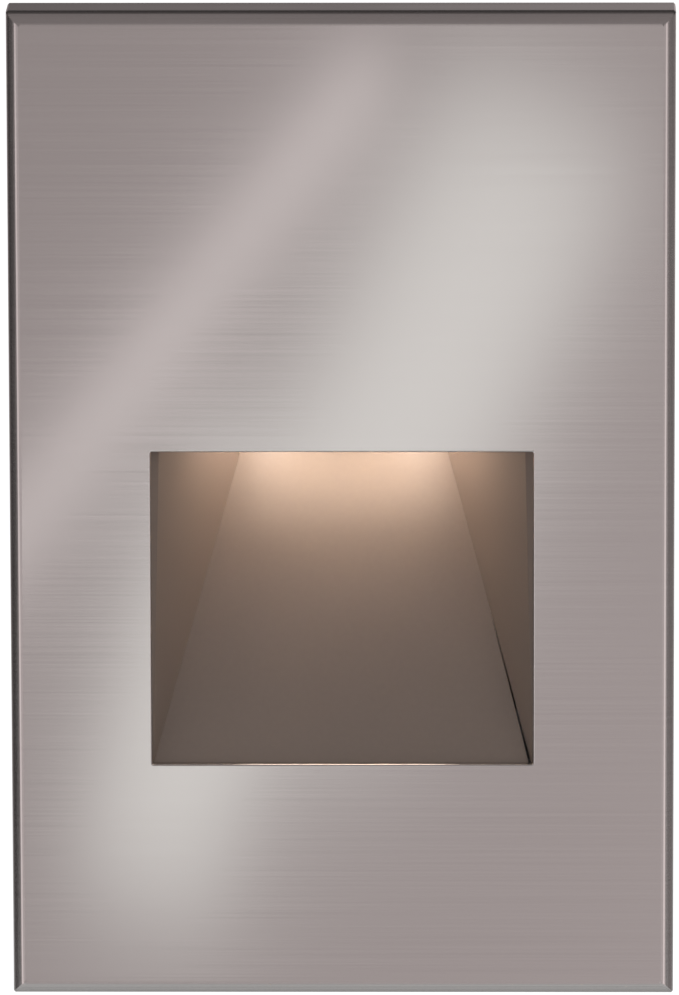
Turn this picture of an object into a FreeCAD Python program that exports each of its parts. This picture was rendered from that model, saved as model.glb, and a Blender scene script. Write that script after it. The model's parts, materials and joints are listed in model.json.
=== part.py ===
import FreeCAD, Part
import math
import os
import re
import Sketcher

# A recessed step light. X runs to the right, Y into the wall and Z up. The origin is the middle of
# the bracket's screw pattern, on the wall's face (Y = 0). Every size is in millimetres.
SIZES = {
    # Face plate: a folded pan, open towards the wall
    "plate_width": 85.0,
    "plate_height": 128.0,
    "plate_depth": 8.0,
    "plate_sheet": 1.2,
    "plate_bend": 1.6,
    "rim_gap": 0.5,
    "opening_width": 48.8,
    "opening_height": 40.8,
    "opening_drop": 13.2,
    "opening_corner": 0.4,
    "weep_width": 8.0,
    "weep_height": 1.5,
    # Foam ring against the wall
    "wall_gasket_width": 3.2,
    "gasket_slip": 0.15,
    "notch_gap": 0.65,
    # Bracket: a steel frame on the wall box
    "bracket_sheet": 1.2,
    "bracket_height": 108.0,
    "bracket_clearance": 0.6,
    "box_screw_spacing": 83.3,
    "box_hole_radius": 2.0,
    "ear_height": 18.0,
    "ear_gap": 0.9,
    "earth_tab_width": 12.0,
    "earth_tab_offset": 16.0,
    "earth_screw_share": 0.375,
    "earth_head_radius": 3.0,
    "earth_head_height": 2.4,
    "earth_screw_length": 7.0,
    "earth_socket": 1.2,
    # Set screws and the inserts they run in
    "set_screw_radius": 1.5,
    "set_screw_length": 8.0,
    "set_screw_recess": 0.2,
    "set_screw_socket": 0.85,
    "set_screw_socket_depth": 2.0,
    "running_gap": 0.04,
    "insert_share": 0.34375,
    "insert_shoulder": 0.55,
    "insert_gap": 0.45,
    "insert_length": 3.6,
    # Housing: die-cast, in the wall box
    "front_gasket_share": 0.1,
    "flange_share": 0.25,
    "housing_wall": 2.0,
    "scoop_behind": 10.5,
    "housing_corner": 3.0,
    "room_side_gap": 0.8,
    "collar_side": 2.0,
    "driver_room_height": 13.0,
    "roof_thick": 4.5,
    "fin_count": 8,
    "fin_pitch": 4.0,
    "fin_groove": 2.0,
    "fin_depth": 2.0,
    "fin_front": 2.0,
    "fin_back_gap": 4.0,
    "stud_offset": 4.0,
    "stud_margin": 3.6,
    "stud_radius": 1.5,
    "stud_past_nut": 0.3,
    "stud_foot_radius": 2.1,
    "stud_foot_thick": 0.5,
    "stud_spacing": 44.0,
    "washer_radius": 3.2,
    "washer_thick": 0.5,
    "nut_radius": 3.1,
    "nut_share": 0.225,
    "hole_gap": 0.1,
    "flange_side": 3.4,
    "drain_radius": 1.5,
    "drain_spacing": 24.0,
    # Recess: a sloped panel between two cheeks
    "scoop_depth": 28.0,
    "scoop_sheet": 0.8,
    "scoop_facet": 1.0,
    "scoop_back_width": 23.8,
    "seam_gap": 0.12,
    "slope_drop": 0.5,
    "slope_foot": 1.3,
    "recess_clearance": 0.1,
    # Window over the recess
    "window_rise": 0.6,
    "retainer_thick": 1.0,
    "retainer_side_gap": 1.8,
    "retainer_front_gap": 0.2,
    "retainer_past_lens": 4.5,
    "retainer_screw_side": 9.5,
    "retainer_screw_inset": 2.1,
    "retainer_screw_radius": 1.0,
    "retainer_screw_length": 5.5,
    "lens_thick": 2.5,
    "lens_side_gap": 4.8,
    "lens_past_scoop": 2.0,
    "lens_lap": 2.0,
    "lens_side_lap": 3.5,
    "lens_gap": 0.2,
    "lens_gasket_thick": 0.8,
    "lamp_front_gap": 6.0,
    "lamp_room_height": 3.5,
    "shelf_thick": 2.0,
    "view_inset": 0.4,
    "view_past_board": 1.0,
    # Light source
    "pad_thick": 0.5,
    "board_thick": 1.6,
    "led_board_gap": 0.6,
    "lamp_wiring": 6.0,
    "emitter_side": 3.0,
    "emitter_thick": 0.7,
    "emitter_pitch": 6.0,
    "emitter_inset": 4.5,
    "board_screw_side": 2.8,
    "board_screw_inset": 2.7,
    "board_screw_radius": 1.0,
    "board_screw_length": 4.6,
    "small_head_radius": 1.9,
    "small_head_height": 1.1,
    "small_socket": 0.75,
    "connector_width": 5.0,
    "connector_depth": 3.0,
    "connector_inset": 1.0,
    "connector_height": 1.8,
    "lead_radius": 0.45,
    "lead_spacing": 1.8,
    "lead_bend": 1.6,
    "grommet_inset": 2.7,
    "grommet_radius": 2.2,
    "grommet_lip_radius": 2.6,
    "grommet_lip": 0.6,
    # Driver
    "standoff_height": 2.5,
    "standoff_radius": 2.2,
    "standoff_side": 2.6,
    "standoff_front_inset": 3.0,
    "standoff_end_inset": 6.7,
    "driver_side_gap": 1.3,
    "driver_front_gap": 0.9,
    "driver_end_gap": 2.8,
    "driver_headroom": 0.9,
    "driver_part_gap": 1.0,
    "driver_screw_radius": 1.2,
    "driver_screw_length": 8.0,
    "driver_head_radius": 2.2,
    "driver_head_height": 1.3,
    "driver_socket": 0.9,
    "transformer_width": 12.0,
    "transformer_depth": 12.5,
    "transformer_side": 5.5,
    "transformer_inset": 5.1,
    "core_inset": 2.1,
    "winding_inset": 1.5,
    "winding_drop": 1.6,
    "capacitor_radius": 3.4,
    "capacitor_inset": 8.6,
    "choke_radius": 3.1,
    "choke_wire": 1.5,
    "chip_width": 4.0,
    "chip_depth": 4.0,
    "chip_thick": 1.6,
    "terminal_width": 15.0,
    "terminal_edge": 1.0,
    "terminal_depth": 7.4,
    "terminal_pitch": 5.0,
    "terminal_bore": 1.5,
    "terminal_entry_rise": 2.7,
    "terminal_entry_depth": 4.9,
    "terminal_well": 3.2,
    "clamp_thick": 2.0,
    "clamp_socket": 0.75,
    # Back of the driver room
    "cover_gasket_thick": 0.8,
    "cover_thick": 2.0,
    "cover_foot": 2.1,
    "cover_screw_side": 5.3,
    "cover_screw_radius": 1.5,
    "cover_screw_length": 8.8,
    "cover_head_radius": 2.5,
    "cover_head_height": 1.6,
    "cover_socket": 1.1,
    "bushing_radius": 4.9,
    "bushing_bore": 3.5,
    "bushing_lip_radius": 6.4,
    "bushing_lip": 1.8,
    "bushing_barb_radius": 5.5,
    "bushing_barb": 1.4,
}

# Places along Y, from the room to the back of the wall box
PLATE_RIM = "(-rim_gap)"
PLATE_FRONT = "(-rim_gap - plate_depth)"
PLATE_BACK = f"({PLATE_FRONT} + plate_sheet)"
FLANGE_FRONT = f"({PLATE_BACK} + front_gasket_share * plate_depth)"
FLANGE_BACK = f"({FLANGE_FRONT} + flange_share * plate_depth)"
NUT_BACK = f"({FLANGE_BACK} + washer_thick + nut_share * plate_depth)"
INSERT_RADIUS = "(insert_share * plate_depth)"
SET_SCREW_Y = f"({PLATE_BACK} + {INSERT_RADIUS} + insert_gap)"
EAR_FRONT = f"({PLATE_BACK} + ear_gap)"
EARTH_Y = f"(({EAR_FRONT} - bracket_sheet) / 2)"
EARTH_RADIUS = f"(earth_screw_share * (-bracket_sheet - {EAR_FRONT}))"
SCOOP_BACK = f"({PLATE_FRONT} + scoop_depth)"
HOUSING_BACK = f"({SCOOP_BACK} + scoop_behind + housing_wall)"
ROOM_BACK = f"({HOUSING_BACK} - housing_wall)"
COVER_FRONT = f"({HOUSING_BACK} + cover_gasket_thick)"
COVER_BACK = f"({COVER_FRONT} + cover_thick)"
LAMP_FRONT = f"({FLANGE_BACK} + lamp_front_gap)"
LENS_FRONT = f"({LAMP_FRONT} - lens_lap)"
LENS_END = f"({SCOOP_BACK} + lens_past_scoop)"
LAMP_END = f"({LENS_END} - lens_lap)"
RETAINER_FRONT = f"({FLANGE_BACK} + retainer_front_gap)"
RETAINER_END = f"({LENS_END} + retainer_past_lens)"
LED_FRONT = f"({LAMP_FRONT} + led_board_gap)"
LED_END = f"({LAMP_END} - lamp_wiring)"
EMITTER_Y = f"({LED_FRONT} + emitter_inset)"
CONNECTOR_END = f"({LED_END} - connector_inset)"
GROMMET_Y = f"({LAMP_END} - grommet_inset)"
DRIVER_FRONT = f"({FLANGE_BACK} + driver_front_gap)"
DRIVER_END = f"({HOUSING_BACK} - driver_end_gap)"

# Places along Z, from the recess up to the roof of the housing
OPENING_TOP = "(-opening_drop + opening_height / 2)"
OPENING_BOTTOM = "(-opening_drop - opening_height / 2)"
ROOM_FLOOR = f"({OPENING_BOTTOM} - slope_foot - recess_clearance)"
RETAINER_UNDER = f"({OPENING_TOP} + window_rise)"
LENS_UNDER = f"({RETAINER_UNDER} + retainer_thick)"
LENS_TOP = f"({LENS_UNDER} + lens_thick)"
LAMP_FLOOR = f"({LENS_TOP} + lens_gasket_thick)"
SHELF_UNDER = f"({LAMP_FLOOR} + lamp_room_height)"
SHELF_TOP = f"({SHELF_UNDER} + shelf_thick)"
ROOF_UNDER = f"({SHELF_TOP} + driver_room_height)"
ROOF_TOP = f"({ROOF_UNDER} + roof_thick)"
HOUSING_BOTTOM = f"({ROOM_FLOOR} - housing_wall)"
LED_BOARD_TOP = f"({SHELF_UNDER} - pad_thick)"
LED_BOARD_UNDER = f"({LED_BOARD_TOP} - board_thick)"
DRIVER_UNDER = f"({SHELF_TOP} + standoff_height)"
DRIVER_TOP = f"({DRIVER_UNDER} + board_thick)"
COVER_BOTTOM = f"({LENS_UNDER} + cover_foot)"
COVER_SCREW_LOW = f"(({COVER_BOTTOM} + {SHELF_TOP}) / 2)"
COVER_SCREW_HIGH = f"({ROOF_UNDER} + roof_thick / 2)"
BUSHING_Z = f"(({SHELF_TOP} + {ROOF_UNDER}) / 2)"
DRIVER_PART_HEIGHT = "(driver_room_height - standoff_height - board_thick - driver_headroom)"

# Half widths, from the middle out
PLATE_INSIDE_X = "(plate_width / 2 - plate_sheet)"
PLATE_INSIDE_Z = "(plate_height / 2 - plate_sheet)"
SCOOP_RUN = "(scoop_depth - plate_sheet - scoop_facet)"
SCOOP_BEND = f"({PLATE_BACK} + scoop_facet)"
SCOOP_KNEE = "(opening_width / 2 - scoop_facet)"
SCOOP_TAPER = f"({SCOOP_KNEE} - scoop_back_width / 2)"
CHEEK_SIDE = f"(scoop_sheet * sqrt({SCOOP_RUN} ^ 2 + {SCOOP_TAPER} ^ 2) / {SCOOP_RUN})"
WINDOW_X = f"(opening_width / 2 + {CHEEK_SIDE} + recess_clearance)"
COLLAR_X = f"({WINDOW_X} + collar_side)"
CHEEK_AT_WALL = f"({SCOOP_KNEE} + {CHEEK_SIDE} + {SCOOP_TAPER} * {SCOOP_BEND} / {SCOOP_RUN})"
ROOM_X = f"({CHEEK_AT_WALL} + room_side_gap)"
TUBE_X = f"({ROOM_X} + housing_wall)"
FLANGE_X = f"({COLLAR_X} + flange_side)"
EAR_OUTSIDE = "(plate_width / 2 - set_screw_recess - set_screw_length)"
CUTOUT_X = f"({COLLAR_X} + bracket_clearance)"
CUTOUT_TOP = f"({ROOF_TOP} + bracket_clearance)"
CUTOUT_BOTTOM = f"({HOUSING_BOTTOM} - bracket_clearance)"
STUD_TOP = f"({ROOF_TOP} + stud_offset)"
STUD_BOTTOM = f"({HOUSING_BOTTOM} - stud_offset)"
RETAINER_X = f"({ROOM_X} - retainer_side_gap)"
LENS_X = f"({ROOM_X} - lens_side_gap)"
LAMP_X = f"({LENS_X} - lens_side_lap)"
LED_X = f"({LAMP_X} - led_board_gap)"
DRIVER_X = f"({ROOM_X} - driver_side_gap)"
CHOKE_X = f"({DRIVER_X} - choke_radius - choke_wire - driver_part_gap)"

# The line of the sloped panel's front face
SCOOP_TOP = f"({RETAINER_UNDER} - recess_clearance)"
SLOPE_LOW = f"({OPENING_BOTTOM} - slope_drop)"
SLOPE_RUN = f"({SCOOP_BACK} - {PLATE_BACK})"
SLOPE_RISE = f"({SCOOP_TOP} - {SLOPE_LOW})"
SLOPE_LENGTH = f"sqrt({SLOPE_RUN} ^ 2 + {SLOPE_RISE} ^ 2)"

SIDES = {"left": "-1", "right": "1"}
TOWARDS = {
    "+X": (1, 0, 0),
    "-X": (-1, 0, 0),
    "+Y": (0, 1, 0),
    "-Y": (0, -1, 0),
    "+Z": (0, 0, 1),
    "-Z": (0, 0, -1),
}
REACH = 5.0  # how far a cut runs past what it cuts
SOCKET_FLOOR = 0.4  # how much of a screw's head is left under its socket
FIRST_GUESS = 10.0  # where an outline's corners start, before they are held in place
NEAR = 0.01  # how far apart two places may be and still count as one
SMALLEST_CUT = 1e-4  # the least volume that a cut takes away

ALIAS = re.compile(r"\b(" + "|".join(sorted(SIZES, key=len, reverse=True)) + r")\b")
doc = FreeCAD.newDocument("StepLight")
sheet = doc.addObject("Spreadsheet::Sheet", "Sizes")
for row, (alias, size) in enumerate(SIZES.items(), start=1):
    sheet.set(f"A{row}", alias)
    sheet.set(f"B{row}", str(size))
    sheet.setAlias(f"B{row}", alias)
doc.recompute()
pieces = []


def bind(item, path, formula):
    """Tie one property of an object to the sheet."""
    item.setExpression(path, ALIAS.sub(r"Sizes.\1", str(formula)))


def keep(item, label):
    """Name an object as one of the light's pieces."""
    item.Label = label
    pieces.append(item)
    return item


# Outlines, drawn into sketches


def pin(sketch, curve, point, across, up, start):
    """Hold a point of a curve at its place from the sketch's origin."""
    for kind, formula, guess in (("DistanceX", across, start.x), ("DistanceY", up, start.y)):
        rule = sketch.addConstraint(Sketcher.Constraint(kind, -1, 1, curve, point, guess))
        bind(sketch, f"Constraints[{rule}]", formula)


def polygon(*corners):
    """A closed outline through (across, up) corners."""

    def draw(sketch):
        first, count = sketch.GeometryCount, len(corners)
        turns = [2 * math.pi * (step + 0.5) / count for step in range(count)]
        ring = [(FIRST_GUESS * math.cos(turn), FIRST_GUESS * math.sin(turn)) for turn in turns]
        guesses = [FreeCAD.Vector(x, y, 0) for x, y in ring]
        for step in range(count):
            line = Part.LineSegment(guesses[step], guesses[(step + 1) % count])
            sketch.addGeometry(line, False)
        for step in range(count):
            after = first + (step + 1) % count
            sketch.addConstraint(Sketcher.Constraint("Coincident", first + step, 2, after, 1))
        for step, (across, up) in enumerate(corners):
            pin(sketch, first + step, 1, across, up, guesses[step])

    return draw


def rectangle(left, low, right, high):
    """A rectangle between two opposite corners."""
    return polygon((left, low), (right, low), (right, high), (left, high))


def middle_rectangle(half_width, low, high):
    """A rectangle that is even about the middle."""
    return rectangle(f"-({half_width})", low, half_width, high)


def circle(across, up, radius):
    """A round hole or disc."""

    def draw(sketch):
        middle = FreeCAD.Vector(1, 1, 0)
        curve = sketch.addGeometry(Part.Circle(middle, FreeCAD.Vector(0, 0, 1), 1), False)
        pin(sketch, curve, 3, across, up, middle)
        rule = sketch.addConstraint(Sketcher.Constraint("Radius", curve, 1.0))
        bind(sketch, f"Constraints[{rule}]", radius)

    return draw


# Features of a body


def extrude(body, name, plane, outlines, low, high, cut=False):
    """Pad or pocket the outlines, drawn on one of the body's planes, between two heights on its axis."""
    sketch = body.newObject("Sketcher::SketchObject", f"{name}_outline")
    support = next(item for item in body.Origin.OriginFeatures if item.Role == plane)
    sketch.AttachmentSupport = [(support, "")]
    sketch.MapMode = "FlatFace"
    bind(sketch, "AttachmentOffset.Base.z", f"-({high})" if plane == "XZ_Plane" else low)
    for draw in outlines:
        draw(sketch)
    feature = body.newObject("PartDesign::Pocket" if cut else "PartDesign::Pad", name)
    feature.Profile = sketch
    feature.Reversed = cut
    bind(feature, "Length", f"({high}) - ({low})")
    sketch.Visibility = False
    return feature


def new_body(label):
    """A piece made as a body of sketched features."""
    return keep(doc.addObject("PartDesign::Body", label), label)


def round_edges(body, name, chosen, radius):
    """Round the edges of the body's last feature that the test picks."""
    doc.recompute()
    base = body.Tip
    names = [f"Edge{number}" for number, edge in enumerate(base.Shape.Edges, 1) if chosen(edge)]
    feature = body.newObject("PartDesign::Fillet", name)
    feature.Base = (base, names)
    bind(feature, "Radius", radius)
    return feature


def runs_along_y(edge):
    """Whether an edge is straight and points into the wall."""
    box = edge.BoundBox
    return box.YLength > NEAR and box.XLength < NEAR and box.ZLength < NEAR


def slab(label, plane, outlines, low, high):
    """A piece that is one flat outline with a thickness."""
    body = new_body(label)
    extrude(body, f"{label}_pad", plane, outlines, low, high)
    return body


# Turned and boxed pieces


def disc(name, radius, low, high, sides=0):
    """A cylinder, or a prism with that many sides, about its own Z axis."""
    item = doc.addObject("Part::Prism" if sides else "Part::Cylinder", name)
    if sides:
        item.Polygon = sides
    bind(item, "Circumradius" if sides else "Radius", radius)
    bind(item, "Height", f"({high}) - ({low})")
    bind(item, "Placement.Base.z", low)
    return item


def block(name, left, front, low, right, back, high):
    """A box between two opposite corners."""
    item = doc.addObject("Part::Box", name)
    ends = {"x": ("Length", left, right), "y": ("Width", front, back), "z": ("Height", low, high)}
    for axis, (side, start, end) in ends.items():
        bind(item, side, f"({end}) - ({start})")
        bind(item, f"Placement.Base.{axis}", start)
    return item


def joined(name, items):
    """One solid out of several that meet."""
    if len(items) == 1:
        return items[0]
    item = doc.addObject("Part::MultiFuse", name)
    item.Shapes = items
    item.Refine = True
    return item


def turned(name, discs, bores=()):
    """A piece about its own Z axis: discs joined, less bores, each as (radius, low, high, sides)."""
    solid = joined(f"{name}_body", [disc(f"{name}_disc{n}", *row) for n, row in enumerate(discs)])
    if not bores:
        return solid
    item = doc.addObject("Part::Cut", name)
    item.Base = solid
    item.Tool = joined(f"{name}_void", [disc(f"{name}_bore{n}", *row) for n, row in enumerate(bores)])
    return item


def place(item, towards, x, y, z):
    """Point an item's own Z axis along a direction, with its origin at a place."""
    turn = FreeCAD.Rotation(FreeCAD.Vector(0, 0, 1), FreeCAD.Vector(*TOWARDS[towards]))
    item.Placement = FreeCAD.Placement(FreeCAD.Vector(0, 0, 0), turn)
    for axis, formula in zip("xyz", (x, y, z)):
        bind(item, f"Placement.Base.{axis}", formula)
    return item


def group(label, items):
    """Like pieces that share one name, each a solid of its own."""
    item = doc.addObject("Part::Compound", label)
    item.Links = items
    return keep(item, label)


def copies(label, make, places, towards):
    """A group of one piece, made again at each place."""
    return group(label, [place(make(f"{label}_{n}"), towards, *spot) for n, spot in enumerate(places, 1)])


def screw(shank, length, head, head_height, socket):
    """A maker of screws: the head's seat is the origin, and the tip points along +Z."""

    def make(name):
        discs = [(head, f"-({head_height})", "0"), (shank, f"-({head_height}) / 2", length)]
        floor = f"-({head_height}) * {SOCKET_FLOOR}"
        return turned(name, discs, [(socket, f"-({head_height}) - {REACH}", floor, 6)])

    return make


def four_places(half_x, first, second, at, order):
    """Four places that are even about the middle: on both sides, at two values of one axis."""
    spots = [(f"{side} * ({half_x})", value) for value in (first, second) for side in SIDES.values()]
    if order == "xyz":
        return [(across, along, at) for across, along in spots]
    return [(across, at, along) for across, along in spots]


STUD_SPOTS = four_places("stud_spacing / 2", STUD_BOTTOM, STUD_TOP, PLATE_BACK, "xzy")
RETAINER_SPOTS = four_places(
    f"{RETAINER_X} - retainer_screw_side",
    f"{RETAINER_FRONT} + retainer_screw_inset",
    f"{RETAINER_END} - retainer_screw_inset",
    RETAINER_UNDER,
    "xyz",
)
STANDOFF_SPOTS = four_places(
    f"{DRIVER_X} - standoff_side",
    f"{DRIVER_FRONT} + standoff_front_inset",
    f"{DRIVER_END} - standoff_end_inset",
    SHELF_TOP,
    "xyz",
)
COVER_SPOTS = four_places(
    f"{TUBE_X} - cover_screw_side", COVER_SCREW_LOW, COVER_SCREW_HIGH, COVER_BACK, "xzy"
)
BOARD_SCREW_SPOTS = [
    (f"{side} * ({LED_X} - board_screw_side)", f"{LED_END} - board_screw_inset", LED_BOARD_UNDER)
    for side in SIDES.values()
]
LEAD_SPOTS = [(f"{side} * lead_spacing / 2", GROMMET_Y) for side in SIDES.values()]
DRAIN_SPOTS = [(f"{side} * drain_spacing / 2", f"{FLANGE_BACK} / 2") for side in SIDES.values()]


# Bracket


def make_bracket():
    """The steel frame on the wall box, with two ears for the set screws and a tab for the earth screw."""
    body = new_body("mounting_bracket")
    frame = [
        middle_rectangle(EAR_OUTSIDE, "-bracket_height / 2", "bracket_height / 2"),
        middle_rectangle(CUTOUT_X, CUTOUT_BOTTOM, CUTOUT_TOP),
        circle("0", "box_screw_spacing / 2", "box_hole_radius"),
        circle("0", "-box_screw_spacing / 2", "box_hole_radius"),
    ]
    extrude(body, "bracket_frame", "XZ_Plane", frame, "-bracket_sheet", "0")
    ears = [
        rectangle(f"{side} * {EAR_OUTSIDE}", "-ear_height / 2", f"{side} * ({EAR_OUTSIDE} - bracket_sheet)",
                  "ear_height / 2")
        for side in SIDES.values()
    ]
    extrude(body, "bracket_ears", "XZ_Plane", ears, EAR_FRONT, "0")
    tab_left = "-earth_tab_offset - earth_tab_width / 2"
    tab_right = "-earth_tab_offset + earth_tab_width / 2"
    tab = rectangle(tab_left, "-bracket_height / 2", tab_right, "-bracket_height / 2 + bracket_sheet")
    extrude(body, "bracket_tab", "XZ_Plane", [tab], EAR_FRONT, "0")
    hole = circle("-earth_tab_offset", EARTH_Y, EARTH_RADIUS)
    low, high = f"-bracket_height / 2 - {REACH}", f"-bracket_height / 2 + {REACH}"
    extrude(body, "earth_hole", "XY_Plane", [hole], low, high, cut=True)


def make_ground_screw():
    """The earth screw, with a socket in its hexagon head."""
    head = ("earth_head_radius", "-earth_head_height", "0", 6)
    shank = (EARTH_RADIUS, "-earth_head_height / 2", "earth_screw_length")
    floor = f"-earth_head_height * {SOCKET_FLOOR}"
    socket = ("earth_socket", f"-earth_head_height - {REACH}", floor, 6)
    item = turned("ground_screw", [head, shank], [socket])
    keep(place(item, "+Z", "-earth_tab_offset", EARTH_Y, "-bracket_height / 2"), "ground_screw")


# Face plate and what holds it


def make_face_plate():
    """The folded pan: rounded bends that meet in a mitre at each corner, and one opening."""
    body = new_body("face_plate")
    outer = middle_rectangle("plate_width / 2", "-plate_height / 2", "plate_height / 2")
    extrude(body, "plate_blank", "XZ_Plane", [outer], PLATE_FRONT, PLATE_RIM)
    doc.recompute()
    front = body.Shape.BoundBox.YMin
    round_edges(body, "plate_bends", lambda edge: edge.BoundBox.YMax < front + NEAR, "plate_bend")
    inner = middle_rectangle(PLATE_INSIDE_X, f"-{PLATE_INSIDE_Z}", PLATE_INSIDE_Z)
    extrude(body, "plate_hollow", "XZ_Plane", [inner], PLATE_BACK, f"{PLATE_RIM} + {REACH}", cut=True)
    back = front + SIZES["plate_sheet"]

    def at_back(edge):
        return max(abs(edge.BoundBox.YMin - back), abs(edge.BoundBox.YMax - back)) < NEAR

    round_edges(body, "plate_inner_bends", at_back, "plate_bend - plate_sheet")
    opening = middle_rectangle("opening_width / 2", OPENING_BOTTOM, OPENING_TOP)
    low, high = f"{PLATE_FRONT} - {REACH}", f"{PLATE_BACK} + {REACH}"
    extrude(body, "plate_opening", "XZ_Plane", [opening], low, high, cut=True)
    inside = SIZES["plate_width"] / 2 - 2 * SIZES["plate_bend"]

    def opening_corner(edge):
        return runs_along_y(edge) and abs(edge.BoundBox.XMin) < inside

    round_edges(body, "opening_corners", opening_corner, "opening_corner")
    side_hole = circle(SET_SCREW_Y, "0", f"{INSERT_RADIUS} - insert_shoulder")
    half = f"plate_width / 2 + {REACH}"
    extrude(body, "side_holes", "YZ_Plane", [side_hole], f"-({half})", half, cut=True)
    low, high = f"-plate_height / 2 - {REACH}", f"-{PLATE_INSIDE_Z} + {REACH}"
    weep = middle_rectangle("weep_width / 2", low, high)
    low, high = f"{PLATE_RIM} - weep_height", f"{PLATE_RIM} + {REACH}"
    extrude(body, "weep_notch", "XZ_Plane", [weep], low, high, cut=True)


def make_wall_gasket():
    """The foam ring inside the rim, notched for the inserts and for the weep."""
    body = new_body("wall_gasket")
    outer_x, outer_z = f"({PLATE_INSIDE_X} - gasket_slip)", f"({PLATE_INSIDE_Z} - gasket_slip)"
    inner_z = f"({outer_z} - wall_gasket_width)"
    ring = [
        middle_rectangle(outer_x, f"-{outer_z}", outer_z),
        middle_rectangle(f"{outer_x} - wall_gasket_width", f"-{inner_z}", inner_z),
    ]
    extrude(body, "gasket_ring", "XZ_Plane", ring, f"{PLATE_BACK} + gasket_slip", "0")
    half = f"({INSERT_RADIUS} + notch_gap)"
    notch = middle_rectangle("plate_width / 2", f"-{half}", half)
    low, high = f"{PLATE_BACK} - {REACH}", f"{SET_SCREW_Y} + {half}"
    extrude(body, "insert_notches", "XZ_Plane", [notch], low, high, cut=True)
    weep = middle_rectangle("weep_width / 2", "-plate_height / 2", f"-{inner_z} + {REACH}")
    extrude(body, "gasket_weep", "XZ_Plane", [weep], f"{PLATE_RIM} - weep_height", f"{REACH}", cut=True)


def make_plate_fasteners():
    """The welded studs with their washers and nuts, and the inserts with their set screws."""

    def stud(name):
        foot = ("stud_foot_radius", "0", "stud_foot_thick")
        return turned(name, [foot, ("stud_radius", "0", f"{NUT_BACK} + stud_past_nut - {PLATE_BACK}")])

    def washer(name):
        return turned(name, [("washer_radius", "0", "washer_thick")], [("stud_radius", f"-{REACH}", REACH)])

    def nut(name):
        hexagon = ("nut_radius", "0", "nut_share * plate_depth", 6)
        return turned(name, [hexagon], [("stud_radius", f"-{REACH}", REACH)])

    def insert(name):
        collar = (f"{INSERT_RADIUS} - insert_shoulder", "-plate_sheet + set_screw_recess", "0")
        bore = ("set_screw_radius + running_gap", f"-plate_sheet - {REACH}", f"insert_length + {REACH}")
        return turned(name, [collar, (INSERT_RADIUS, "0", "insert_length")], [bore])

    copies("plate_studs", stud, STUD_SPOTS, "+Y")
    copies("stud_washers", washer, [(x, FLANGE_BACK, z) for x, _, z in STUD_SPOTS], "+Y")
    nut_seat = f"{FLANGE_BACK} + washer_thick"
    copies("stud_nuts", nut, [(x, nut_seat, z) for x, _, z in STUD_SPOTS], "+Y")
    inserts = []
    for side, sign in SIDES.items():
        inward = "+X" if side == "left" else "-X"
        item = insert(f"{side}_insert")
        inserts.append(place(item, inward, f"{sign} * {PLATE_INSIDE_X}", SET_SCREW_Y, "0"))
        rod = [("set_screw_radius", "0", "set_screw_length")]
        socket = ("set_screw_socket", f"-{REACH}", "set_screw_socket_depth", 6)
        set_screw = turned(f"{side}_set_screw", rod, [socket])
        place(set_screw, inward, f"{sign} * (plate_width / 2 - set_screw_recess)", SET_SCREW_Y, "0")
        keep(set_screw, f"{side}_set_screw")
    group("screw_inserts", inserts)


# Housing


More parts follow.
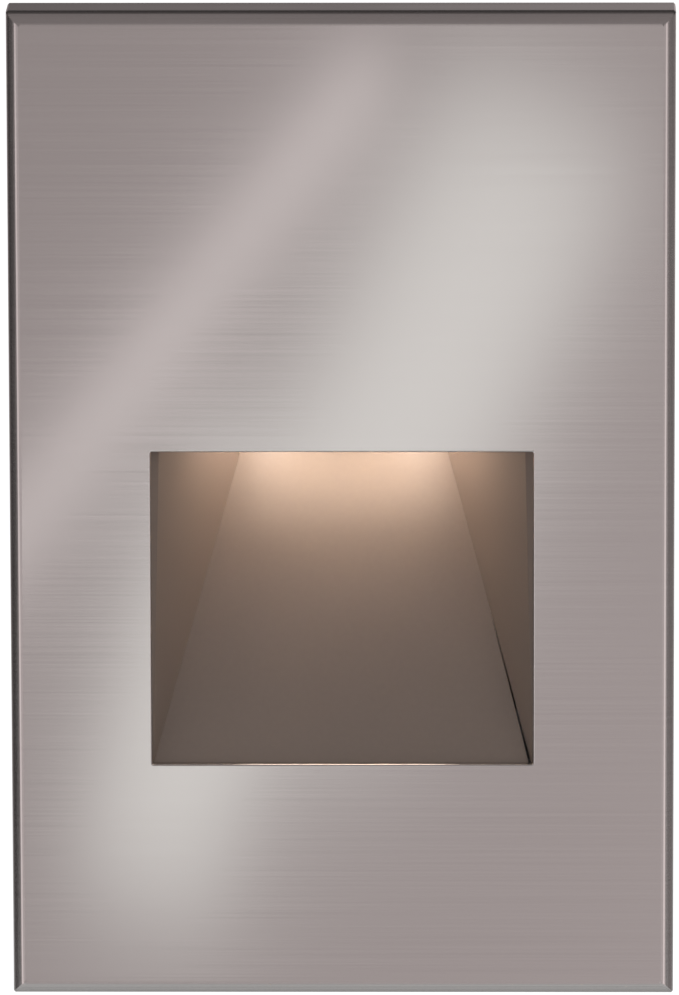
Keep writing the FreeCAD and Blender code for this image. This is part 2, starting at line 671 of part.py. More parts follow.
def make_housing():
    """The die-cast body: flange, collar and tube outside; recess, lamp room and driver room inside."""
    body = new_body("housing")
    low, high = f"{STUD_BOTTOM} - stud_margin", f"{STUD_TOP} + stud_margin"
    flange = middle_rectangle(FLANGE_X, low, high)
    extrude(body, "flange", "XZ_Plane", [flange], FLANGE_FRONT, FLANGE_BACK)
    collar = middle_rectangle(COLLAR_X, HOUSING_BOTTOM, ROOF_TOP)
    extrude(body, "collar", "XZ_Plane", [collar], FLANGE_FRONT, "0")
    tube = middle_rectangle(TUBE_X, HOUSING_BOTTOM, ROOF_TOP)
    extrude(body, "tube", "XZ_Plane", [tube], FLANGE_FRONT, HOUSING_BACK)

    def behind_wall(edge):
        return runs_along_y(edge) and edge.BoundBox.YMax > SIZES["housing_corner"]

    round_edges(body, "tube_corners", behind_wall, "housing_corner")

    def hollow(name, plane, outlines, start, end):
        extrude(body, name, plane, outlines, start, end, cut=True)

    window = middle_rectangle(WINDOW_X, ROOM_FLOOR, RETAINER_UNDER)
    hollow("recess_window", "XZ_Plane", [window], f"{FLANGE_FRONT} - {REACH}", "0")
    room = middle_rectangle(ROOM_X, ROOM_FLOOR, LENS_UNDER)
    hollow("recess_room", "XZ_Plane", [room], FLANGE_BACK, ROOM_BACK)
    seat = middle_rectangle(f"{LENS_X} + lens_gap", f"{LENS_FRONT} - lens_gap", f"{LENS_END} + lens_gap")
    hollow("lens_seat", "XY_Plane", [seat], LENS_UNDER, LAMP_FLOOR)
    lamp_room = middle_rectangle(LAMP_X, LAMP_FRONT, LAMP_END)
    hollow("lamp_room", "XY_Plane", [lamp_room], LAMP_FLOOR, SHELF_UNDER)
    driver_room = middle_rectangle(ROOM_X, SHELF_TOP, ROOF_UNDER)
    hollow("driver_room", "XZ_Plane", [driver_room], FLANGE_BACK, f"{HOUSING_BACK} + {REACH}")
    studs = [circle(x, z, "stud_radius + hole_gap") for x, _, z in STUD_SPOTS]
    hollow("stud_holes", "XZ_Plane", studs, f"{FLANGE_FRONT} - {REACH}", f"{FLANGE_BACK} + {REACH}")
    drains = [circle(x, y, "drain_radius") for x, y in DRAIN_SPOTS]
    hollow("drains", "XY_Plane", drains, f"{HOUSING_BOTTOM} - {REACH}", f"{ROOM_FLOOR} + {REACH}")
    covers = [circle(x, z, "cover_screw_radius") for x, _, z in COVER_SPOTS]
    cover_tip = f"{COVER_BACK} - cover_screw_length"
    hollow("cover_screw_holes", "XZ_Plane", covers, cover_tip, f"{HOUSING_BACK} + {REACH}")
    retainers = [circle(x, y, "retainer_screw_radius") for x, y, _ in RETAINER_SPOTS]
    retainer_tip = f"{RETAINER_UNDER} + retainer_screw_length"
    hollow("retainer_screw_holes", "XY_Plane", retainers, LENS_UNDER, retainer_tip)
    drivers = [circle(x, y, "driver_screw_radius") for x, y, _ in STANDOFF_SPOTS]
    driver_tip = f"{DRIVER_TOP} - driver_screw_length"
    hollow("driver_screw_holes", "XY_Plane", drivers, driver_tip, f"{SHELF_TOP} + standoff_height")
    boards = [circle(x, y, "board_screw_radius") for x, y, _ in BOARD_SCREW_SPOTS]
    board_tip = f"{LED_BOARD_UNDER} + board_screw_length"
    hollow("board_screw_holes", "XY_Plane", boards, LED_BOARD_UNDER, board_tip)
    grommet = circle("0", GROMMET_Y, "grommet_radius")
    hollow("grommet_hole", "XY_Plane", [grommet], SHELF_UNDER, SHELF_TOP)
    first = "-fin_pitch * (fin_count - 1) / 2"
    left, right = f"{first} - fin_groove / 2", f"{first} + fin_groove / 2"
    groove = [rectangle(left, f"{ROOF_TOP} - fin_depth", right, f"{ROOF_TOP} + {REACH}")]
    back = f"{HOUSING_BACK} - fin_back_gap"
    first_groove = extrude(body, "cooling_groove", "XZ_Plane", groove, "fin_front", back, cut=True)
    grooves = body.newObject("PartDesign::LinearPattern", "cooling_grooves")
    grooves.Originals = [first_groove]
    grooves.Direction = (first_groove.Profile[0], ["H_Axis"])
    bind(grooves, "Length", "fin_pitch * (fin_count - 1)")
    bind(grooves, "Occurrences", "fin_count")
    body.Tip = grooves


def make_front_gasket():
    """The silicone ring between plate and flange, with holes for the studs' feet."""
    low, high = f"{STUD_BOTTOM} - stud_margin", f"{STUD_TOP} + stud_margin"
    ring = [
        middle_rectangle(FLANGE_X, low, high),
        middle_rectangle(WINDOW_X, ROOM_FLOOR, RETAINER_UNDER),
    ]
    ring += [circle(x, z, "stud_foot_radius") for x, _, z in STUD_SPOTS]
    slab("front_gasket", "XZ_Plane", ring, PLATE_BACK, FLANGE_FRONT)


# Recess


def make_slope():
    """The sloped panel: a flat sheet that narrows towards the back, and its foot behind the plate."""
    body = new_body("reflector_slope")
    down = f"scoop_sheet * {SLOPE_RUN} / {SLOPE_LENGTH}"
    along = f"scoop_sheet * {SLOPE_RISE} / {SLOPE_LENGTH}"
    foot = f"({OPENING_BOTTOM} - slope_foot)"
    foot_back = f"{PLATE_BACK} + {along} + ({foot} - ({SLOPE_LOW} - {down})) * {SLOPE_RUN} / {SLOPE_RISE}"
    profile = polygon(
        (PLATE_BACK, SLOPE_LOW),
        (SCOOP_BACK, SCOOP_TOP),
        (f"{SCOOP_BACK} + {along} + {down} * {SLOPE_RUN} / {SLOPE_RISE}", SCOOP_TOP),
        (foot_back, foot),
        (PLATE_BACK, foot),
    )
    extrude(body, "slope_sheet", "YZ_Plane", [profile], "-opening_width / 2", "opening_width / 2")
    front, back = f"{PLATE_BACK} - {REACH}", f"{SCOOP_BACK} + {REACH}"
    for side, sign in SIDES.items():
        edge = [
            (f"{sign} * (opening_width / 2 - seam_gap)", front),
            (f"{sign} * (opening_width / 2 - seam_gap)", PLATE_BACK),
            (f"{sign} * ({SCOOP_KNEE} - seam_gap)", SCOOP_BEND),
            (f"{sign} * (scoop_back_width / 2 - seam_gap)", SCOOP_BACK),
            (f"{sign} * (scoop_back_width / 2 - seam_gap)", back),
            (f"{sign} * (opening_width / 2 + {REACH})", back),
            (f"{sign} * (opening_width / 2 + {REACH})", front),
        ]
        low, high = f"{foot} - {REACH}", f"{SCOOP_TOP} + {REACH}"
        extrude(body, f"slope_{side}_trim", "XY_Plane", [polygon(*edge)], low, high, cut=True)


def make_cheek(side):
    """A tapered side wall: a narrow facet at the front, then one flat sheet down to the slope."""
    sign = SIDES[side]
    body = new_body(f"{side}_cheek")
    inside = [
        ("opening_width / 2", PLATE_BACK),
        (SCOOP_KNEE, SCOOP_BEND),
        ("scoop_back_width / 2", SCOOP_BACK),
    ]
    outline = [(f"{sign} * ({x})", y) for x, y in inside]
    outline += [(f"{sign} * ({x} + {CHEEK_SIDE})", y) for x, y in reversed(inside)]
    extrude(body, f"{side}_cheek_sheet", "XY_Plane", [polygon(*outline)], SLOPE_LOW, SCOOP_TOP)
    past = f"{REACH} * {SLOPE_RISE} / {SLOPE_RUN}"
    front, back = f"{PLATE_BACK} - {REACH}", f"{SCOOP_BACK} + {REACH}"
    below = polygon(
        (front, f"{SLOPE_LOW} + seam_gap - {past}"),
        (back, f"{SCOOP_TOP} + seam_gap + {past}"),
        (back, f"{SLOPE_LOW} - {past} - {REACH}"),
        (front, f"{SLOPE_LOW} - {past} - {REACH}"),
    )
    half = "opening_width"
    extrude(body, f"{side}_cheek_foot", "YZ_Plane", [below], f"-{half}", half, cut=True)


# Window and light source


def make_window():
    """The frosted lens above the recess, its gasket, its retainer and the retainer's screws."""
    lens = middle_rectangle(LENS_X, LENS_FRONT, LENS_END)
    slab("lens", "XY_Plane", [lens], LENS_UNDER, LENS_TOP)
    lamp_room = middle_rectangle(LAMP_X, LAMP_FRONT, LAMP_END)
    slab("lens_gasket", "XY_Plane", [lens, lamp_room], LENS_TOP, LAMP_FLOOR)
    view_front, view_back = f"{LAMP_FRONT} + view_inset", f"{LED_END} + view_past_board"
    retainer = [
        middle_rectangle(RETAINER_X, RETAINER_FRONT, RETAINER_END),
        middle_rectangle(f"{LAMP_X} - view_inset", view_front, view_back),
    ]
    retainer += [circle(x, y, "retainer_screw_radius + hole_gap") for x, y, _ in RETAINER_SPOTS]
    slab("lens_retainer", "XY_Plane", retainer, RETAINER_UNDER, LENS_UNDER)
    make = screw("retainer_screw_radius", "retainer_screw_length", "small_head_radius", "small_head_height",
                 "small_socket")
    copies("retainer_screws", make, RETAINER_SPOTS, "+Z")


def make_light_source():
    """The lamp board with its emitters and connector, on a thermal pad under the shelf."""
    outline = middle_rectangle(LED_X, LED_FRONT, LED_END)
    holes = [circle(x, y, "board_screw_radius + hole_gap") for x, y, _ in BOARD_SCREW_SPOTS]
    slab("led_board", "XY_Plane", [outline] + holes, LED_BOARD_UNDER, LED_BOARD_TOP)
    slab("thermal_pad", "XY_Plane", [outline] + holes, LED_BOARD_TOP, SHELF_UNDER)
    emitters = []
    for number in (-1, 0, 1):
        left = f"{number} * emitter_pitch - emitter_side / 2"
        front = f"{EMITTER_Y} - emitter_side / 2"
        low = f"{LED_BOARD_UNDER} - emitter_thick"
        right, back = f"{left} + emitter_side", f"{front} + emitter_side"
        emitters.append(block(f"emitter_{number + 2}", left, front, low, right, back, LED_BOARD_UNDER))
    group("led_emitters", emitters)
    half = "connector_width / 2"
    low = f"{LED_BOARD_UNDER} - connector_height"
    front = f"{CONNECTOR_END} - connector_depth"
    connector = block("connector", f"-{half}", front, low, half, CONNECTOR_END, LED_BOARD_UNDER)
    keep(connector, "led_connector")
    make = screw("board_screw_radius", "board_screw_length", "small_head_radius", "small_head_height",
                 "small_socket")
    copies("board_screws", make, BOARD_SCREW_SPOTS, "+Z")


def make_leads():
    """The grommet in the shelf, and the two leads that turn up through it to the driver board."""
    lips = [
        ("grommet_lip_radius", "-grommet_lip", "0"),
        ("grommet_radius", "-grommet_lip", "shelf_thick + grommet_lip"),
        ("grommet_lip_radius", "shelf_thick", "shelf_thick + grommet_lip"),
    ]
    rubber = place(turned("grommet_rubber", lips), "+Z", "0", GROMMET_Y, SHELF_UNDER)
    bores = []
    for number, (x, y) in enumerate(LEAD_SPOTS):
        length = "shelf_thick + 4 * grommet_lip"
        bore = disc(f"grommet_bore{number}", "lead_radius + running_gap", "0", length)
        bores.append(place(bore, "+Z", x, y, f"{SHELF_UNDER} - 2 * grommet_lip"))
    grommet = doc.addObject("Part::Cut", "lead_grommet")
    grommet.Base = rubber
    grommet.Tool = joined("grommet_bores", bores)
    keep(grommet, "lead_grommet")
    lead_z = f"({LED_BOARD_UNDER} - connector_height / 2)"
    bend_y = f"({GROMMET_Y} - lead_bend)"
    for (x, y), colour in zip(LEAD_SPOTS, ("black", "red")):
        run = disc(f"{colour}_run", "lead_radius", "0", f"{bend_y} - {CONNECTOR_END}")
        place(run, "+Y", x, CONNECTOR_END, lead_z)
        bend = doc.addObject("Part::Torus", f"{colour}_bend")
        bind(bend, "Radius1", "lead_bend")
        bind(bend, "Radius2", "lead_radius")
        bend.Angle3 = 90
        quarter = FreeCAD.Rotation(FreeCAD.Vector(0, 1, 0), 90)
        bend.Placement = FreeCAD.Placement(FreeCAD.Vector(0, 0, 0), quarter)
        for axis, formula in zip("xyz", (x, bend_y, f"{lead_z} + lead_bend")):
            bind(bend, f"Placement.Base.{axis}", formula)
        rise_low = f"({lead_z} + lead_bend)"
        rise = disc(f"{colour}_rise", "lead_radius", rise_low, f"{DRIVER_TOP} + lead_radius")
        place(rise, "+Z", x, y, rise_low)
        keep(joined(f"led_lead_{colour}", [run, bend, rise]), f"led_lead_{colour}")


# Driver


def make_driver():
    """The driver board on its standoffs, with what is soldered to it."""
    outline = middle_rectangle(DRIVER_X, DRIVER_FRONT, DRIVER_END)
    holes = [circle(x, y, "driver_screw_radius + hole_gap") for x, y, _ in STANDOFF_SPOTS]
    holes += [circle(x, y, "lead_radius + running_gap") for x, y in LEAD_SPOTS]
    slab("driver_board", "XY_Plane", [outline] + holes, DRIVER_UNDER, DRIVER_TOP)

    def standoff(name):
        bore = ("driver_screw_radius + hole_gap", f"-{REACH}", f"standoff_height + {REACH}")
        return turned(name, [("standoff_radius", "0", "standoff_height")], [bore])

    copies("driver_standoffs", standoff, STANDOFF_SPOTS, "+Z")
    make = screw("driver_screw_radius", "driver_screw_length", "driver_head_radius", "driver_head_height",
                 "driver_socket")
    copies("driver_screws", make, [(x, y, DRIVER_TOP) for x, y, _ in STANDOFF_SPOTS], "-Z")
    left = f"(transformer_side - {DRIVER_X})"
    right = f"({left} + transformer_width)"
    front = f"({DRIVER_FRONT} + transformer_inset)"
    back = f"({front} + transformer_depth)"
    top = f"({DRIVER_TOP} + {DRIVER_PART_HEIGHT})"
    core_front, core_back = f"{front} + core_inset", f"{back} - core_inset"
    core = block("transformer_core", left, core_front, DRIVER_TOP, right, core_back, top)
    winding_left, winding_right = f"{left} + winding_inset", f"{right} - winding_inset"
    winding_top = f"{top} - winding_drop"
    winding = block("transformer_winding", winding_left, front, DRIVER_TOP, winding_right, back, winding_top)
    keep(joined("driver_transformer", [core, winding]), "driver_transformer")
    first_can = f"({right} + capacitor_radius + driver_part_gap)"
    can_pitch = "(2 * capacitor_radius + driver_part_gap)"
    can_y = f"{DRIVER_FRONT} + capacitor_inset"
    cans = [(f"{first_can} + {step} * {can_pitch}", can_y, DRIVER_TOP) for step in (0, 1)]

    def capacitor(name):
        return turned(name, [("capacitor_radius", "0", DRIVER_PART_HEIGHT)])

    copies("driver_capacitors", capacitor, cans, "+Z")
    chip_left = f"({CHOKE_X} - choke_radius - choke_wire - driver_part_gap - chip_width)"
    chip_front = f"({GROMMET_Y} - driver_part_gap)"
    chip_spots = [
        (chip_left, f"({chip_front} - chip_depth - driver_part_gap)"),
        (chip_left, chip_front),
        (left, chip_front),
    ]
    chips = []
    chip_top = f"{DRIVER_TOP} + chip_thick"
    for number, (x, y) in enumerate(chip_spots, 1):
        chip_right, chip_back = f"{x} + chip_width", f"{y} + chip_depth"
        chips.append(block(f"chip_{number}", x, y, DRIVER_TOP, chip_right, chip_back, chip_top))
    group("driver_chips", chips)
    choke = doc.addObject("Part::Torus", "choke_coil")
    bind(choke, "Radius1", "choke_radius")
    bind(choke, "Radius2", "choke_wire")
    place(choke, "+Z", CHOKE_X, f"{GROMMET_Y} - 2 * driver_part_gap", f"{DRIVER_TOP} + choke_wire")
    keep(choke, "driver_choke")


def make_terminals():
    """The clamp block for the supply leads, open towards the bushing, and its clamp screws."""
    half = "terminal_width / 2"
    back = f"({DRIVER_END} - terminal_edge)"
    front = f"({back} - terminal_depth)"
    top = f"({DRIVER_TOP} + {DRIVER_PART_HEIGHT})"
    well_low = f"({top} - terminal_well)"
    middle = f"({front} + terminal_depth / 2)"
    entry_y = f"({back} - terminal_entry_depth)"
    entry_z = f"({DRIVER_TOP} + terminal_entry_rise)"
    shell = block("terminal_shell", f"-{half}", front, DRIVER_TOP, half, back, top)
    voids = []
    clamps = []
    for number in (-1, 0, 1):
        x = f"{number} * terminal_pitch"
        entry = disc(f"terminal_entry{number + 2}", "terminal_bore", "0", f"terminal_entry_depth + {REACH}")
        voids.append(place(entry, "+Y", x, entry_y, entry_z))
        well = disc(f"terminal_well{number + 2}", "terminal_bore", "0", f"terminal_well + {REACH}")
        voids.append(place(well, "+Z", x, middle, well_low))
        socket = ("clamp_socket", "clamp_thick / 2", f"clamp_thick + {REACH}", 6)
        clamp = turned(f"terminal_clamp{number + 2}", [("terminal_bore", "0", "clamp_thick")], [socket])
        clamps.append(place(clamp, "+Z", x, middle, well_low))
    item = doc.addObject("Part::Cut", "driver_terminals")
    item.Base = shell
    item.Tool = joined("terminal_voids", voids)
    keep(item, "driver_terminals")
    group("terminal_screws", clamps)


# Back of the driver room


def make_cover():
    """The rear cover with its gasket and screws, and the bushing where the supply leads come in."""
    outline = middle_rectangle(TUBE_X, COVER_BOTTOM, ROOF_TOP)
    holes = [circle(x, z, "cover_screw_radius + hole_gap") for x, _, z in COVER_SPOTS]
    inlet = circle("0", BUSHING_Z, "bushing_radius")
    window = middle_rectangle(ROOM_X, SHELF_TOP, ROOF_UNDER)
    cover = slab("rear_cover", "XZ_Plane", [outline, inlet] + holes, COVER_FRONT, COVER_BACK)
    gasket = slab("cover_gasket", "XZ_Plane", [outline, window] + holes, HOUSING_BACK, COVER_FRONT)
    doc.recompute()
    side_x = cover.Shape.BoundBox.XMax

    def at_side(edge):
        return runs_along_y(edge) and abs(abs(edge.BoundBox.XMin) - side_x) < NEAR

    for body in (cover, gasket):
        round_edges(body, f"{body.Label}_corners", at_side, "housing_corner")
    make = screw("cover_screw_radius", "cover_screw_length", "cover_head_radius", "cover_head_height",
                 "cover_socket")
    copies("cover_screws", make, COVER_SPOTS, "-Y")
    discs = [
        ("bushing_lip_radius", "0", "bushing_lip"),
        ("bushing_radius", "-cover_thick - bushing_barb", "bushing_lip"),
        ("bushing_barb_radius", "-cover_thick - bushing_barb", "-cover_thick"),
    ]
    bore = ("bushing_bore", f"-cover_thick - bushing_barb - {REACH}", f"bushing_lip + {REACH}")
    keep(place(turned("wire_bushing", discs, [bore]), "+Y", "0", COVER_BACK, BUSHING_Z), "wire_bushing")


def check_and_write():
    """Stop if any object failed, then write one file for each piece."""
    doc.recompute()
    for item in doc.Objects:
        if {"Invalid", "Error"} & set(item.State):
            raise RuntimeError(f"{item.Name} failed: {item.State}")
        if item.TypeId != "PartDesign::Pocket":
            continue
        if item.Shape.Volume > item.BaseFeature.Shape.Volume - SMALLEST_CUT:
            raise RuntimeError(f"{item.Name} cuts nothing")
    names = [piece.Label for piece in pieces]
    if len(set(names)) < len(names):
        raise RuntimeError("two pieces share a name")
    for piece in pieces:
        if piece.Shape.isNull() or not piece.Shape.isValid():
            raise RuntimeError(f"{piece.Label} has no valid shape")
    os.makedirs("parts", exist_ok=True)
    for piece in pieces:
        piece.Shape.exportStep(f"parts/{piece.Label}.step")
        box = piece.Shape.BoundBox
        print(f"{piece.Label}: {len(piece.Shape.Solids)} solid(s), {piece.Shape.Volume:.1f} mm3,",
              f"x {box.XMin:.2f}..{box.XMax:.2f}, y {box.YMin:.2f}..{box.YMax:.2f},",
              f"z {box.ZMin:.2f}..{box.ZMax:.2f}")


make_bracket()
make_ground_screw()
make_face_plate()
make_wall_gasket()
make_plate_fasteners()
make_housing()
make_front_gasket()
make_slope()
make_cheek("left")
make_cheek("right")
make_window()
make_light_source()
make_leads()
make_driver()
make_terminals()
make_cover()
check_and_write()
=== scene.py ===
import json
import logging
import math
from dataclasses import dataclass
from enum import Enum
from functools import cache
from typing import Callable, Iterable

import bpy
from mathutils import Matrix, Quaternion, Vector


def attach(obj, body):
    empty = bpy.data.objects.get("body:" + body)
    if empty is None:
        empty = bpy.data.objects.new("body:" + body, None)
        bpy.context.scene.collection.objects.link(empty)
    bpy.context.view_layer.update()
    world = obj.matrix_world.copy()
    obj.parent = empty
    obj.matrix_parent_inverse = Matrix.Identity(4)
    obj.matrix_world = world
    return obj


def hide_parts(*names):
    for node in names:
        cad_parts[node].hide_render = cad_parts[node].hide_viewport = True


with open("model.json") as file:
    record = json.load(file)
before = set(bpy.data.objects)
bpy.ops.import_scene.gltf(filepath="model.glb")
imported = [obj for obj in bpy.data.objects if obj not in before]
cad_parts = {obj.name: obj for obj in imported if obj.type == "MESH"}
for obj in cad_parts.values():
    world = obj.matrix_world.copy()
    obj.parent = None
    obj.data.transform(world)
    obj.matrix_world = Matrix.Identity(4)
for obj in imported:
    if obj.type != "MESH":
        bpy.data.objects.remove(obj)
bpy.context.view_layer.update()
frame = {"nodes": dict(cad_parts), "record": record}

MM = 0.001
LIGHT, BRACKET = "light", "bracket"
log = logging.getLogger("step_light")

Triple = tuple[float, float, float]
Station = tuple[float, float]
Profile = tuple[Station, ...]
Test = Callable[[Vector, Vector], bool]
Step = Callable[[], object]
WARM: Triple = (1.0, 0.83, 0.69)
ROSY: Triple = (1.0, 0.94, 0.935)
COOL: Triple = (0.935, 1.0, 0.965)
SLACK = 0.01
SMOOTH_ANGLE = 35.0
SHARP_ANGLE = 50.0
QUARTER_TURN = 0.25
BRUSH_SCALES = ((12.0, 2600.0), (20.0, 7200.0))


# ---------------------------------------------------------------- working a mesh


class Pick(Enum):
    """Which kind of element an edit acts on."""

    CORNERS = (True, False, False)
    EDGES = (False, True, False)
    FACES = (False, False, True)


def deselect_all() -> None:
    """Leave nothing selected, so that an operator acts only on what comes next."""
    for item in list(bpy.context.selected_objects):
        item.select_set(False)
    bpy.context.view_layer.objects.active = None


def at(value: float, place: float) -> bool:
    """Whether two lengths in millimetres are the same."""
    return abs(value - place) < SLACK


class Workpiece:
    """One mesh under work. Lengths and places are millimetres in the light's own frame."""

    def __init__(self, name: str) -> None:
        """Take over the primitive that was just added.

        Args:
            name: The piece's name.
        """
        self.item = bpy.context.active_object
        self.item.name = name
        self.item.data.name = name
        bpy.ops.object.transform_apply(location=True, rotation=True, scale=True)

    @classmethod
    def block(cls, name: str, low: Triple, high: Triple) -> "Workpiece":
        """Start from a box.

        Args:
            name: The piece's name.
            low: Its lowest corner.
            high: Its highest corner.

        Returns:
            The new workpiece.
        """
        deselect_all()
        middle = [(a + b) / 2 * MM for a, b in zip(low, high)]
        size = [(b - a) * MM for a, b in zip(low, high)]
        bpy.ops.mesh.primitive_cube_add(size=1, location=middle, scale=size)
        return cls(name)

    @classmethod
    def rod(cls, name: str, foot: Triple, axis: Triple, radius: float, length: float,
            sides: int = 48) -> "Workpiece":
        """Start from a cylinder.

        Args:
            name: The piece's name.
            foot: The middle of its first end.
            axis: The direction from its first end to its second.
            radius: Its radius.
            length: Its length.
            sides: How many flats it has.

        Returns:
            The new workpiece.
        """
        deselect_all()
        turn = Vector(axis).to_track_quat("Z", "Y").to_euler()
        middle = (Vector(foot) + Vector(axis) * length / 2) * MM
        bpy.ops.mesh.primitive_cylinder_add(vertices=sides, radius=radius * MM, depth=length * MM,
                                            location=middle, rotation=turn)
        return cls(name)

    @classmethod
    def rounded(cls, name: str, low: Triple, high: Triple, radius: float, segments: int = 3) -> "Workpiece":
        """Start from a box between two opposite corners, with every edge rounded."""
        return cls.block(name, low, high).edges(lambda a, b: True, bevel(radius, segments))

    @classmethod
    def turned(cls, name: str, foot: Triple, axis: Triple, stations: Iterable[Station],
               sides: int = 40) -> "Workpiece":
        """Start from a cone, and draw its end face out along the axis as a lathe would leave it.

        Args:
            name: The piece's name.
            foot: The middle of the first station.
            axis: The direction in which the stations are counted.
            stations: The distance from the foot, and the radius there, one after another.
            sides: How many flats it has.

        Returns:
            The new workpiece.
        """
        deselect_all()
        (start, first), (end, radius), *rest = stations
        turn = Vector(axis).to_track_quat("Z", "Y").to_euler()
        middle = (Vector(foot) + Vector(axis) * (start + end) / 2) * MM
        bpy.ops.mesh.primitive_cone_add(vertices=sides, radius1=first * MM, radius2=radius * MM,
                                        depth=(end - start) * MM, location=middle, rotation=turn)
        piece = cls(name)
        for place, wider in rest:
            top = Vector(foot) + Vector(axis) * end
            following = (Vector(foot) + Vector(axis) * place) * MM
            step, share = Vector(axis) * (place - end), wider / radius

            def draw() -> None:
                """Draw the end face out, and bring it to its new radius."""
                pull(tuple(step))()
                bpy.ops.transform.resize(value=(share, share, share), center_override=following)

            def on_end(middle: Vector, normal: Vector) -> bool:
                """Whether a face is the end face."""
                return (middle - top).length < SLACK and abs(normal.dot(Vector(axis))) > 0.99

            piece.faces(on_end, draw)
            end, radius = place, wider
        return piece

    @classmethod
    def panel(cls, name: str, low: Triple, high: Triple) -> "Workpiece":
        """Start from a flat rectangle that stands square to Y, facing the room.

        Args:
            name: The piece's name.
            low: Its lowest corner.
            high: Its highest corner.

        Returns:
            The new workpiece.
        """
        deselect_all()
        middle = [(a + b) / 2 * MM for a, b in zip(low, high)]
        bpy.ops.mesh.primitive_plane_add(size=1, location=middle, rotation=(math.pi / 2, 0, 0))
        bpy.context.active_object.scale = ((high[0] - low[0]) * MM, (high[2] - low[2]) * MM, 1)
        return cls(name)

    def _pick(self) -> None:
        """Select this piece alone, and make it the active one."""
        deselect_all()
        self.item.select_set(True)
        bpy.context.view_layer.objects.active = self.item

    def _edit(self, chosen: Iterable, mode: Pick, work: Step) -> "Workpiece":
        """Select the chosen elements, and only those, and work on them in edit mode.

        Args:
            chosen: The corners, edges or faces.
            mode: Which of these they are.
            work: What is done to them.

        Returns:
            This workpiece.
        """
        mesh = self.item.data
        chosen = list(chosen)
        for group in (mesh.vertices, mesh.edges, mesh.polygons):
            group.foreach_set("select", [False] * len(group))
        for element in chosen:
            element.select = True
        bpy.context.tool_settings.mesh_select_mode = mode.value
        bpy.context.view_layer.objects.active = self.item
        self.item.select_set(True)
        bpy.ops.object.mode_set(mode="EDIT")
        work()
        bpy.ops.object.mode_set(mode="OBJECT")
        return self

    def faces(self, test: Test, work: Step) -> "Workpiece":
        """Work on the faces whose middle and normal pass a test."""
        picked = [face for face in self.item.data.polygons if test(face.center / MM, face.normal)]
        return self._edit(picked, Pick.FACES, work)

    def edges(self, test: Test, work: Step) -> "Workpiece":
        """Work on some of the edges.

        Args:
            test: What the two ends of such an edge pass.
            work: What is done to them.

        Returns:
            This workpiece.
        """
        points = [corner.co / MM for corner in self.item.data.vertices]
        picked = [edge for edge in self.item.data.edges if test(*(points[end] for end in edge.vertices))]
        return self._edit(picked, Pick.EDGES, work)

    def corners(self, test: Callable[[Vector], bool], work: Step) -> "Workpiece":
        """Work on the corners that pass a test."""
        picked = [corner for corner in self.item.data.vertices if test(corner.co / MM)]
        return self._edit(picked, Pick.CORNERS, work)

    def everything(self, work: Step) -> "Workpiece":
        """Work on the whole mesh."""
        return self._edit(self.item.data.polygons, Pick.FACES, work)

    def modify(self, kind: str, **settings: object) -> "Workpiece":
        """Add a modifier and apply it.

        Args:
            kind: Its type.
            settings: Its own properties.

        Returns:
            This workpiece.
        """
        self._pick()
        modifier = self.item.modifiers.new(kind.lower(), kind)
        for name, value in settings.items():
            setattr(modifier, name, value)
        bpy.ops.object.modifier_apply(modifier=modifier.name)
        return self

    def combine(self, how: str, other: "Workpiece") -> "Workpiece":
        """Work this solid with another one, which is used up.

        Args:
            how: The boolean operation.
            other: The other solid.

        Returns:
            This workpiece.
        """
        self.modify("BOOLEAN", operation=how, object=other.item, solver="EXACT")
        bpy.data.objects.remove(other.item)
        return self

    def add(self, other: "Workpiece") -> "Workpiece":
        """Join another solid to this one."""
        return self.combine("UNION", other)

    def cut(self, other: "Workpiece") -> "Workpiece":
        """Cut another solid away from this one."""
        return self.combine("DIFFERENCE", other)

    def clean(self) -> "Workpiece":
        """Merge doubled corners and drop the edges that cross flat faces.

        Returns:
            This workpiece.
        """
        def work() -> None:
            """Do both, in edit mode."""
            bpy.ops.mesh.remove_doubles(threshold=0.002 * MM)
            bpy.ops.mesh.dissolve_limited(angle_limit=math.radians(0.5))

        return self.everything(work)

    def thicken(self, sheet: float) -> "Workpiece":
        """Give a skin the thickness of its sheet, towards its inside."""
        return self.modify("SOLIDIFY", thickness=sheet * MM, offset=-1.0, use_even_offset=True)

    def soften(self, width: float, angle: float = SHARP_ANGLE, segments: int = 2) -> "Workpiece":
        """Round every edge that is sharper than an angle."""
        return self.modify("BEVEL", width=width * MM, segments=segments, limit_method="ANGLE",
                           angle_limit=math.radians(angle), use_clamp_overlap=True)

    def repeat(self, moves: Iterable[Triple]) -> "Workpiece":
        """Copy the piece, each copy with its own mesh.

        Args:
            moves: The way from the first one to each copy.

        Returns:
            This workpiece, with its copies joined to it.
        """
        twins = []
        for move in moves:
            self._pick()
            step = {"value": [value * MM for value in move]}
            bpy.ops.object.duplicate_move(TRANSFORM_OT_translate=step)
            bpy.ops.object.transform_apply(location=True, rotation=False, scale=False)
            twins.append(bpy.context.active_object)
        self._pick()
        for twin in twins:
            twin.select_set(True)
        bpy.ops.object.join()
        return self

    def finish(self, body: str, look: "Finish", *nodes: str) -> "Workpiece":
        """Shade the mesh, dress it, and tie it to its body.

        Args:
            body: The body that the piece moves with.
            look: Its finish.
            nodes: The nodes that the piece stands for.

        Returns:
            This workpiece.
        """
        self._pick()
        bpy.ops.object.shade_smooth_by_angle(angle=math.radians(SMOOTH_ANGLE))
        self.modify("WEIGHTED_NORMAL", keep_sharp=True, weight=100)
        self.item.data.materials.clear()
        self.item.data.materials.append(look.material())
        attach(self.item, body)
        if nodes:
            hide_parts(*nodes)
        log.info("%s: %d faces", self.item.name, len(self.item.data.polygons))
        return self


